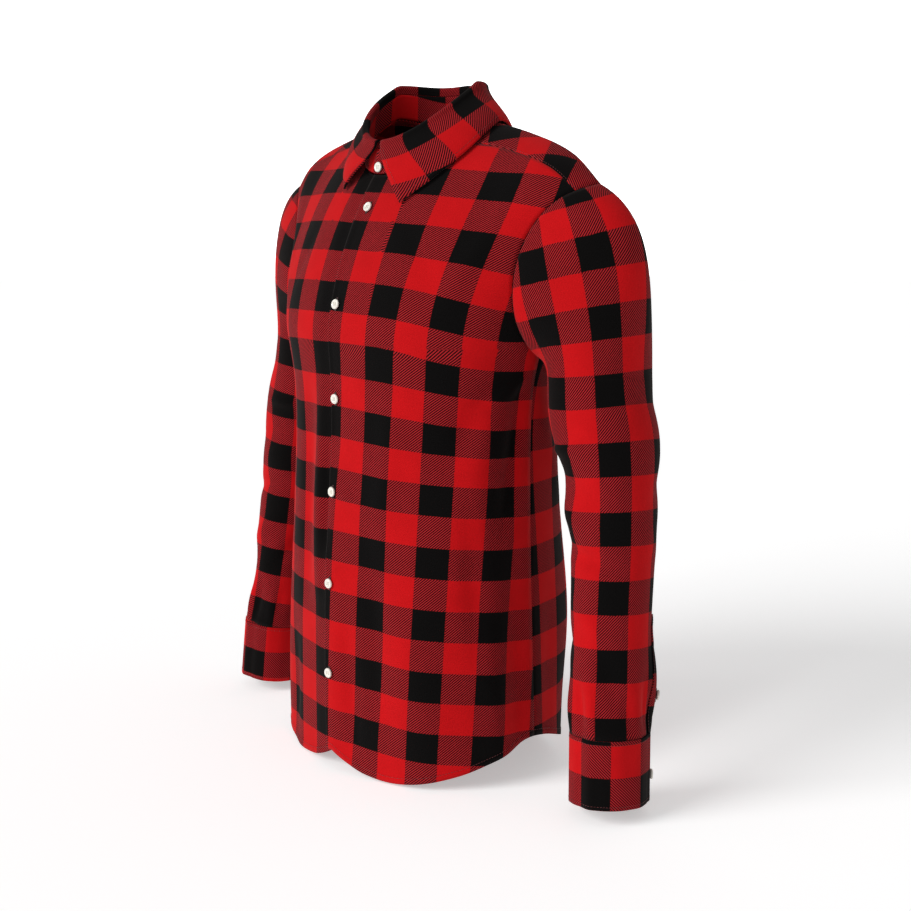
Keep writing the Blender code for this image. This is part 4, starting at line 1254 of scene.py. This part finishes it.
def plain_layers(s, t):
    """One layer everywhere."""
    return np.ones_like(s)


def body_layers(s, t):
    """Two layers at the hem and at the folded front edge."""
    return 1 + np.maximum(1 - ease(*FOLDED_HEM, t), 1 - ease(*FOLDED_EDGE, s))


def hem_layers(s, t):
    """Two layers at the hem."""
    return 2 - ease(*FOLDED_HEM, t)


def all_double(s, t):
    """Two layers everywhere."""
    return np.full_like(s, 2.0)


print("layers at the hem:", body_layers(np.ones(1), np.zeros(1)))

# %% Fronts, back and yoke
BUTTON_LINE_S = (LAP / (LAP + QUARTER_LENGTH)) ** (1 / FRONT_CROWD)
MIDDLE_FRONT = (BUTTON_LINE_S, 0.5)
FRONT_TRIM = (0, 0.0005, 0, 0.0003)
add_sheet("front_left", front_left, columns=60, rows=150,
          cut=drawn_over_chest(on_check(front_cut, MIDDLE_FRONT, phase=(0.0275, 0.0025),
                                        lean=2.0, shrink=(0.94, 1.0)), 1),
          facing=1, layers=body_layers, short=FRONT_TRIM)
right_cut = cut_of(front_right, columns=24, rows=40, grain=CENTRE_FRONT, straight_edge=True)
add_sheet("front_right", front_right, columns=60, rows=150,
          cut=drawn_over_chest(on_check(right_cut, MIDDLE_FRONT, phase=(0.0375, 0.005),
                                        shrink=(0.94, 1.0), flip=MIRROR), -1),
          facing=-1, layers=body_layers, short=FRONT_TRIM)
back_cut = cut_of(back, columns=36, rows=30, grain=((0.5, 0.1), (0.5, WAIST)))
add_sheet("back", back, columns=108, rows=150,
          cut=on_check(back_cut, (0.5, 0.5), phase=(0.055, 0.0095)),
          facing=1, layers=hem_layers, short=(0.0003, 0.0003, 0, 0.0003))
yoke_cut = cut_of(yoke, columns=36, rows=6, grain=((0.5, 1.0), (0.5, 0.0)))
add_sheet("yoke", yoke, columns=150, rows=30,
          cut=on_check(yoke_cut, (0.5, 1.0), phase=(0.0475, 0.068), flip=MIRROR),
          facing=-1, layers=plain_layers, short=(0.0003, 0.0003, 0, 0.001))
print("cells of the body:", sum(len(sheet.piece.data.polygons) for sheet in sheets.values()))

# %% Sleeves and cuffs
SLEEVE_MIDDLE = (0.5, 0.7)
sleeve_cut = cut_of(sleeve_left, columns=24, rows=30, grain=((0.5, 1.0), (0.5, 0.4)))
add_sheet("sleeve_left", sleeve_left, columns=120, rows=144,
          cut=on_check(sleeve_cut, SLEEVE_MIDDLE, phase=(0.0025, 0.0375), lean=-2.0,
                       shrink=(1.06, 0.96), flip=MIRROR),
          facing=-1, layers=plain_layers, tube=True)
add_sheet("sleeve_right", mirrored(sleeve_left), columns=120, rows=144,
          cut=on_check(sleeve_cut, SLEEVE_MIDDLE, phase=(0.055, 0.025), lean=4.0,
                       shrink=(1.0, 0.98)),
          facing=1, layers=plain_layers, tube=True)
cuff_cut = cut_of(cuff_left, columns=30, rows=6, grain=((0.5, 1.0), (0.5, 0.0)))
add_sheet("cuff_left", cuff_left, columns=96, rows=24,
          cut=on_check(cuff_cut, (0.5, 1.0), phase=(0.0445, 0.0), across=True),
          facing=1, layers=all_double)
add_sheet("cuff_right", mirrored(cuff_left), columns=96, rows=24,
          cut=on_check(cuff_cut, (0.5, 1.0), phase=(0.0375, 0.065), flip=MIRROR, across=True),
          facing=-1, layers=all_double)
placket_cut = cut_of(placket_left, columns=4, rows=8, grain=((0.5, 0.0), (0.5, 0.5)))
add_sheet("sleeve_placket_left", placket_left, columns=20, rows=48,
          cut=on_check(placket_cut, (0.5, 0.0), phase=(0.0325, 0.0075), flip=MIRROR),
          facing=-1, layers=plain_layers)
add_sheet("sleeve_placket_right", mirrored(placket_left), columns=20, rows=48,
          cut=on_check(placket_cut, (0.5, 0.0), phase=(0.0025, 0.0075)),
          facing=1, layers=plain_layers)
print("sheets so far:", len(sheets))

# %% Collar pieces
stand_cut = strip_of(collar_stand, columns=64, rows=6, middle=0.5)
add_sheet("collar_stand", collar_stand, columns=128, rows=10,
          cut=on_check(stand_cut, (0.5, 0.0), phase=(0.04, 0.042), flip=MIRROR),
          facing=-1, layers=all_double)
leaf_cut = strip_of(collar_leaf, columns=60, rows=18, middle=0.7)
add_sheet("collar_leaf", collar_leaf, columns=120, rows=45,
          cut=on_check(leaf_cut, (0.5, 0.0), phase=(0.0225, 0.035), shrink=(1.0, 0.92),
                       flip=HALF_TURN),
          facing=1, layers=all_double)
for node, sheet in sheets.items():
    print(node, "cut", round(sheet.cut.width, 3), "x", round(sheet.cut.length, 3), "m")

# %% [markdown]
# ## Sewing
#
# The seams of a shirt are top-stitched with thread of the cloth's own colour, so the rows hardly
# show, but they catch the light. A bump could hint at them, but it would leave the mesh itself
# without them. So a stitch is one small stretched ball, and all of them go into one mesh, because
# thousands of separate objects would be slow.

# %% Lines on a sheet
SHARE_STEP = 1e-3
EDGE_SHARE = 0.3
EDGE_STEPS = 13


def outward(place, s, t, facing):
    """The direction out of the shirt at these places of a sheet."""
    along = place(s + SHARE_STEP, t) - place(s - SHARE_STEP, t)
    up = place(s, t + SHARE_STEP) - place(s, t - SHARE_STEP)
    return unit(np.cross(along, up)) * facing


def inside_edge(place, edge, distance, start=0.0, end=1.0, count=90):
    """The shares of a line that runs a distance inside an edge of a sheet."""
    depths = np.linspace(0.0, EDGE_SHARE, EDGE_STEPS)
    share, depth = np.meshgrid(np.linspace(start, end, count), depths, indexing="ij")
    if edge in ("right", "top"):
        depth = 1 - depth
    spots = place(depth, share) if edge in ("left", "right") else place(share, depth)
    steps = np.linalg.norm(np.diff(spots, axis=1), axis=-1)
    runs = np.concatenate([np.zeros((count, 1)), np.cumsum(steps, axis=1)], axis=1)
    found = np.array([np.interp(distance, run, depths) for run in runs])
    if edge in ("right", "top"):
        found = 1 - found
    return (found, share[:, 0]) if edge in ("left", "right") else (share[:, 0], found)


print("a line 7 mm inside the hem, as t:", inside_edge(back, "bottom", 0.007)[1][:2].round(4))

# %% Stitches as one piece
THREAD_RADIUS = 0.00022


def stitch_frames(centres, alongs, outs, length):
    """A matrix for each stitch, which stretches a ball of radius 1 along the seam."""
    frames = np.zeros((len(centres), 3, 4))
    alongs, outs = unit(alongs), unit(outs)
    frames[:, :, 0] = unit(np.cross(outs, alongs)) * THREAD_RADIUS
    frames[:, :, 1] = outs * THREAD_RADIUS
    frames[:, :, 2] = alongs * length / 2
    frames[:, :, 3] = centres
    return frames


def add_stitches(name, frames, material):
    """All the stitches of these frames as one piece, each a copy of one small ball."""
    frames = np.concatenate(frames)
    ball = bmesh.new()
    bmesh.ops.create_uvsphere(ball, u_segments=6, v_segments=4, radius=1.0)
    corners = np.array([vertex.co for vertex in ball.verts])
    stitch = bpy.data.meshes.new("stitch")
    ball.to_mesh(stitch)
    ball.free()
    shape = bmesh.new()
    for _ in frames:
        shape.from_mesh(stitch)
    places = np.einsum("nij,vj->nvi", frames[:, :, :3], corners) + frames[:, None, :, 3]
    piece = new_piece(name, shape, material, places)
    bpy.data.meshes.remove(stitch)
    print(name, "stitches:", len(frames))
    return piece


print("thread:", THREAD_RADIUS * 2, "m thick")

# %% A row of stitches
STITCH_PITCH = 0.0032
STITCH_LENGTH = 0.0024


def sew(node, line, layers):
    """Frames of a row of stitches on the outer face of a sheet along a line of shares."""
    place, facing = sheets[node].place, sheets[node].facing
    spots = place(*line)
    outs = outward(place, *line, facing)
    runs = length_of(spots)
    count = int(runs[-1] / STITCH_PITCH)
    middles = (np.arange(count) + 0.5) * runs[-1] / count
    out = unit(along_line(runs, outs, middles))
    centres = along_line(runs, spots, middles) + out * (CLOTH / 2 * layers + THREAD_RADIUS / 2)
    alongs = (along_line(runs, spots, middles + STITCH_LENGTH / 2)
              - along_line(runs, spots, middles - STITCH_LENGTH / 2))
    return stitch_frames(centres, alongs, out, STITCH_LENGTH)


print("stitches in 10 mm:", round(0.01 / STITCH_PITCH, 1))

# %% Thread
# Spun polyester is two plies twisted together: a soft shine, broken by slanting ridges. They turn
# every 0.5 mm, and are drawn every 3.14 mm so that they show.
PLY_PITCH = 0.0031416
# How long the Wave Texture node's wave is at scale 1.
NODE_WAVE = pi / 10
PLY_DEPTH = 0.0001


def plain_material(name, code, roughness, sheen=0.0):
    """One even colour."""
    material = bpy.data.materials.new(name)
    material.use_nodes = True
    shader = material.node_tree.nodes["Principled BSDF"]
    shader.inputs["Base Color"].default_value = from_hex(code)
    shader.inputs["Roughness"].default_value = roughness
    shader.inputs["Sheen Weight"].default_value = sheen
    return material


def thread_material(name, code):
    """Spun polyester thread of this colour."""
    material = plain_material(name, code, 0.6, 0.2)
    tree = material.node_tree
    spot = add_node(tree, "ShaderNodeTexCoord").node.outputs["Object"]
    plies = add_node(tree, "ShaderNodeTexWave", {"Vector": spot, "Scale": NODE_WAVE / PLY_PITCH})
    bump = add_node(tree, "ShaderNodeBump",
                    {"Strength": 0.4, "Distance": PLY_DEPTH, "Height": plies})
    tree.links.new(bump, tree.nodes["Principled BSDF"].inputs["Normal"])
    return material


seam_thread = thread_material("red_polyester_thread", "640e12")
print("thread material:", seam_thread.name)

# %% Sewing the seams
Seam = namedtuple("Seam", "node edges distance start end layers")
SEAMS = (
    Seam("front_left", "bottom", 0.007, 0.0, 1.0, 2),
    Seam("front_right", "bottom", 0.007, 0.0, 1.0, 2),
    Seam("back", "bottom", 0.007, 0.0, 1.0, 2),
    Seam("yoke", "top", 0.0018, 0.2, 0.8, 1),
    Seam("yoke", "left right", 0.0018, 0.0, 1.0, 1),
    Seam("cuff_left", "top bottom left right", 0.004, 0.01, 0.98, 2),
    Seam("sleeve_placket_left", "left right top", 0.0015, 0.01, 0.98, 1),
    Seam("cuff_right", "top bottom left right", 0.004, 0.01, 0.98, 2),
    Seam("sleeve_placket_right", "left right top", 0.0015, 0.01, 0.98, 1),
    Seam("collar_leaf", "top", 0.005, 0.02, 0.98, 2),
    Seam("collar_leaf", "left right", 0.005, 0.5, 0.96, 2),
    Seam("collar_stand", "bottom", 0.0016, 0.01, 0.99, 2),
)
rows = []
for seam in SEAMS:
    for edge in seam.edges.split():
        line = inside_edge(sheets[seam.node].place, edge, seam.distance, seam.start, seam.end)
        rows.append(sew(seam.node, line, seam.layers))
add_stitches("seam_stitches", rows, seam_thread)

# %% [markdown]
# ## Buttons and buttonholes
#
# Shirt buttons are turned from polyester resin: a domed rim, a shallow dish and four holes. They
# are made on a lathe, so `spin` is the right operator. Holes cut through by a boolean would leave
# rough faces on so small a thing, so each hole is a flat disc of painted shade, and two bars of
# thread cross them. Behind each button lies its buttonhole, a slit between two dense rows of thread.

# %% Sizes of a button
ButtonRing = namedtuple("ButtonRing", "radius height")
BUTTON_RINGS = (
    ButtonRing(0.0, 0.0),
    ButtonRing(0.0041, 0.0),
    ButtonRing(0.0052, 0.0005),
    ButtonRing(0.0057, 0.0013),
    ButtonRing(0.0056, 0.0021),
    ButtonRing(0.0051, 0.0028),
    ButtonRing(0.0044, 0.0030),
    ButtonRing(0.0037, 0.0027),
    ButtonRing(0.0031, 0.0024),
    ButtonRing(0.0, 0.0023),
)
BUTTON_SIDES = 48
BUTTON_LIFT = 0.00125
HOLE_OFF = 0.00125
HOLE_RADIUS = 0.00055
HOLE_RISE = 0.00243
# Three strands of thread cross two holes side by side, at these places in thread radii.
STRANDS = (-1.4, 0.0, 1.4)
STRAND_LENGTH = 2.6 * HOLE_OFF
print("button:", round(2000 * max(ring.radius for ring in BUTTON_RINGS), 1), "mm across")

# %% Where the buttons lie
FRONT_BUTTONS = 6
TOP_BUTTON_Z = -0.093
BUTTON_PITCH = 0.105
COLLAR_BUTTON_UP = 0.27
CUFF_BUTTON_IN = 0.010
CUFF_BUTTON_UP = 0.027
PLACKET_BUTTON_UP = 0.038


def seat(node, s, t):
    """Where a button lies on a sheet: a matrix with its face along +Z and its top along +Y."""
    place, facing = sheets[node].place, sheets[node].facing
    s, t = np.array([s]), np.array([t])
    out = Vector(outward(place, s, t, facing)[0])
    spot = Vector(place(s, t)[0]) + out * BUTTON_LIFT
    return Matrix.Translation(spot) @ out.to_track_quat("Z", "Y").to_matrix().to_4x4()


def front_share(z):
    """Where on the left front, as t, the button line is at this height."""
    shares = np.linspace(0, 1, LINE_PLACES)
    heights = front_left(np.full_like(shares, BUTTON_LINE_S), shares)[:, 2]
    return float(np.interp(z, heights, shares))


LAP_SHARE = STAND_LAP / (pi * NECK_HALF_DEPTH + STAND_LAP)
CUFF_SHARE = CUFF_BUTTON_IN / (2 * pi * SLEEVE[0].side + CUFF_LAP)
seats = {"collar": ("collar_stand", 1 - LAP_SHARE / 2, COLLAR_BUTTON_UP)}
for number in range(FRONT_BUTTONS):
    share = front_share(TOP_BUTTON_Z - number * BUTTON_PITCH)
    seats["front_%d" % (number + 1)] = ("front_left", BUTTON_LINE_S, share)
for side in ("left", "right"):
    seats["cuff_" + side] = ("cuff_" + side, CUFF_SHARE, 1 - CUFF_BUTTON_UP / CUFF_HEIGHT)
    seats["placket_" + side] = ("sleeve_placket_" + side, 0.5, PLACKET_BUTTON_UP / PLACKET_LENGTH)
print("buttons:", ", ".join(seats))


# %% Button resin
# Cast polyester resin, polished in a drum: milky, a little warm, with a wet gloss. Its pearly
# clouds are about 3 mm across.
PEARL_PITCH = 0.003


def resin_material():
    """White shirt-button resin with a faint pearly cloud in it."""
    material = plain_material("white_polyester_resin", "f1ede2", 0.18)
    tree = material.node_tree
    shader = tree.nodes["Principled BSDF"]
    spot = add_node(tree, "ShaderNodeTexCoord").node.outputs["Object"]
    cloud = add_node(tree, "ShaderNodeTexNoise", {"Vector": spot, "Scale": 1 / PEARL_PITCH})
    ramp = add_node(tree, "ShaderNodeValToRGB", {"Fac": cloud})
    colours = ramp.node.color_ramp.elements
    colours[0].color = from_hex("e3ded0")
    colours[1].color = from_hex("f7f4ec")
    tree.links.new(ramp, shader.inputs["Base Color"])
    shader.inputs["IOR"].default_value = 1.54
    shader.inputs["Coat Weight"].default_value = 0.4
    shader.inputs["Coat Roughness"].default_value = 0.08
    return material


resin = resin_material()
print("resin:", resin.name)

# %% Turning the buttons and sewing them on
# The holes are flat discs of painted shade: a dull dark brown for wells that get little light.
painted_hole_shade = plain_material("button_hole_shade", "2b2723", 0.9)
thread_white = thread_material("white_polyester_thread", "d8d2c4")
holes = bmesh.new()
bars = []
for name, spot in seats.items():
    frame_of_button = seat(*spot)
    shape = bmesh.new()
    outline = [shape.verts.new((ring.radius, 0.0, ring.height)) for ring in BUTTON_RINGS]
    edges = [shape.edges.new(pair) for pair in zip(outline, outline[1:])]
    bmesh.ops.spin(shape, geom=outline + edges, cent=(0, 0, 0), axis=(0, 0, 1), dvec=(0, 0, 0),
                   angle=2 * pi, steps=BUTTON_SIDES, use_merge=True)
    bmesh.ops.remove_doubles(shape, verts=shape.verts, dist=1e-6)
    bmesh.ops.recalc_face_normals(shape, faces=shape.faces)
    bmesh.ops.transform(shape, matrix=frame_of_button, verts=shape.verts)
    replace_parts(new_piece("resin_button_" + name, shape, resin), "button_" + name)
    for x in (-HOLE_OFF, HOLE_OFF):
        for y in (-HOLE_OFF, HOLE_OFF):
            bmesh.ops.create_circle(holes, cap_ends=True, segments=12, radius=HOLE_RADIUS,
                                    matrix=frame_of_button @ Matrix.Translation((x, y, HOLE_RISE)))
        up, out = (np.array(frame_of_button.col[axis][:3]) for axis in (1, 2))
        middle = np.array(frame_of_button @ Vector((x, 0.0, HOLE_RISE)))
        for strand in STRANDS:
            across = np.array(frame_of_button.col[0][:3]) * strand * THREAD_RADIUS
            bars.append(stitch_frames(*(v[None, :] for v in (middle + across, up, out)),
                                      STRAND_LENGTH))
# The four discs on each button are painted shade where its holes would be.
new_piece("button_holes", holes, painted_hole_shade)
add_stitches("button_threads", bars, thread_white)

# %% Buttonholes
HOLE_LENGTH = 0.015
BAR_PITCH = 0.00045
BAR_LENGTH = 0.0016
hole_thread = thread_material("dark_red_polyester_thread", "3a0d10")
stitched = []
for name, (node, s, t) in seats.items():
    level = name == "collar" or name.startswith("cuff")
    place, facing = sheets[node].place, sheets[node].facing
    s, t = np.array([s]), np.array([t])
    along = (place(s + SHARE_STEP, t) - place(s - SHARE_STEP, t))[0] / (2 * SHARE_STEP)
    up = (place(s, t + SHARE_STEP) - place(s, t - SHARE_STEP))[0] / (2 * SHARE_STEP)
    offsets = np.arange(-HOLE_LENGTH / 2, HOLE_LENGTH / 2, BAR_PITCH)
    run = np.concatenate([offsets, offsets])
    off = np.repeat([-BAR_LENGTH / 2, BAR_LENGTH / 2], len(offsets))
    move_s, move_t = (run, off) if level else (off, run)
    here = (np.clip(s + move_s / np.linalg.norm(along), 0, 1),
            np.clip(t + move_t / np.linalg.norm(up), 0, 1))
    outs = outward(place, *here, facing)
    ways = unit(up if level else along) * np.ones((len(run), 1))
    ways = ways - outs * np.sum(ways * outs, axis=-1, keepdims=True)
    stitched.append(stitch_frames(place(*here) + outs * CLOTH, ways, outs, BAR_LENGTH))
add_stitches("buttonhole_stitches", stitched, hole_thread)
print("buttonholes:", len(seats))

# %% [markdown]
# ## Camera, light and floor
#
# The camera stands in front of the wearer's left side, about as high as the shoulders, and looks
# down a little. A wide soft light from the front and a bright room all round give the even light
# of a studio. An area lamp would light the near parts more, so the light is a sun with a wide
# disc. The white floor takes a faint shadow.

# %% Camera
CAMERA_TURN = radians(47)
CAMERA_PITCH = radians(10.2)
CAMERA_PLACE = (1.351, -1.217, -0.057)
LENS = 61.65
SENSOR = 36

camera_data = bpy.data.cameras.new("camera")
camera_data.lens = LENS
camera_data.sensor_width = SENSOR
camera = bpy.data.objects.new("camera", camera_data)
camera.location = CAMERA_PLACE
camera.rotation_euler = (pi / 2 - CAMERA_PITCH, 0, CAMERA_TURN)
bpy.context.scene.collection.objects.link(camera)
bpy.context.scene.camera = camera
print("camera at", CAMERA_PLACE)

# %% Light
KEY_WAY = (-0.55, -1.9, 1.1)
KEY_POWER = 2.2
KEY_SPREAD = radians(35)
ROOM_LIGHT = 0.33
key_data = bpy.data.lights.new("key_light", "SUN")
key_data.energy = KEY_POWER
key_data.angle = KEY_SPREAD
key_light = bpy.data.objects.new("key_light", key_data)
key_light.rotation_euler = Vector(KEY_WAY).to_track_quat("Z", "Y").to_euler()
bpy.context.scene.collection.objects.link(key_light)
world = bpy.data.worlds.new("studio")
world.use_nodes = True
world.node_tree.nodes["Background"].inputs["Color"].default_value = (1, 1, 1, 1)
world.node_tree.nodes["Background"].inputs["Strength"].default_value = ROOM_LIGHT
bpy.context.scene.world = world
bpy.context.scene.view_settings.view_transform = "Standard"
print("key light", KEY_POWER, "W/m2")

# %% Floor and backdrop
# Both are white studio paper: dull, with a glow that keeps it white where the light falls off.
FLOOR_DROP = 0.002
FLOOR_SIZE = 8.9
FLOOR_GLOW = 0.42
BACKDROP_SIZE = 9.0
BACKDROP_GLOW = 1.0
floor_shape = bmesh.new()
bmesh.ops.create_circle(floor_shape, cap_ends=True, segments=64, radius=FLOOR_SIZE,
                        matrix=Matrix.Translation((0, 0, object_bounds()[0][2] - FLOOR_DROP)))
backdrop_shape = bmesh.new()
bmesh.ops.create_icosphere(backdrop_shape, subdivisions=4, radius=BACKDROP_SIZE)
for name, shape, glow in (("floor", floor_shape, FLOOR_GLOW),
                          ("backdrop", backdrop_shape, BACKDROP_GLOW)):
    mesh = bpy.data.meshes.new(name)
    shape.to_mesh(mesh)
    shape.free()
    paint = plain_material("white_studio_" + name, "f2f2f2", 0.9)
    shader = paint.node_tree.nodes["Principled BSDF"]
    shader.inputs["Emission Color"].default_value = (1, 1, 1, 1)
    shader.inputs["Emission Strength"].default_value = glow
    mesh.materials.append(paint)
    item = bpy.data.objects.new(name, mesh)
    bpy.context.scene.collection.objects.link(item)
backdrop = bpy.data.objects["backdrop"]
for ray in ("diffuse", "glossy", "transmission", "shadow"):
    setattr(backdrop, "visible_" + ray, False)
print("floor", FLOOR_SIZE, "m round the shirt")
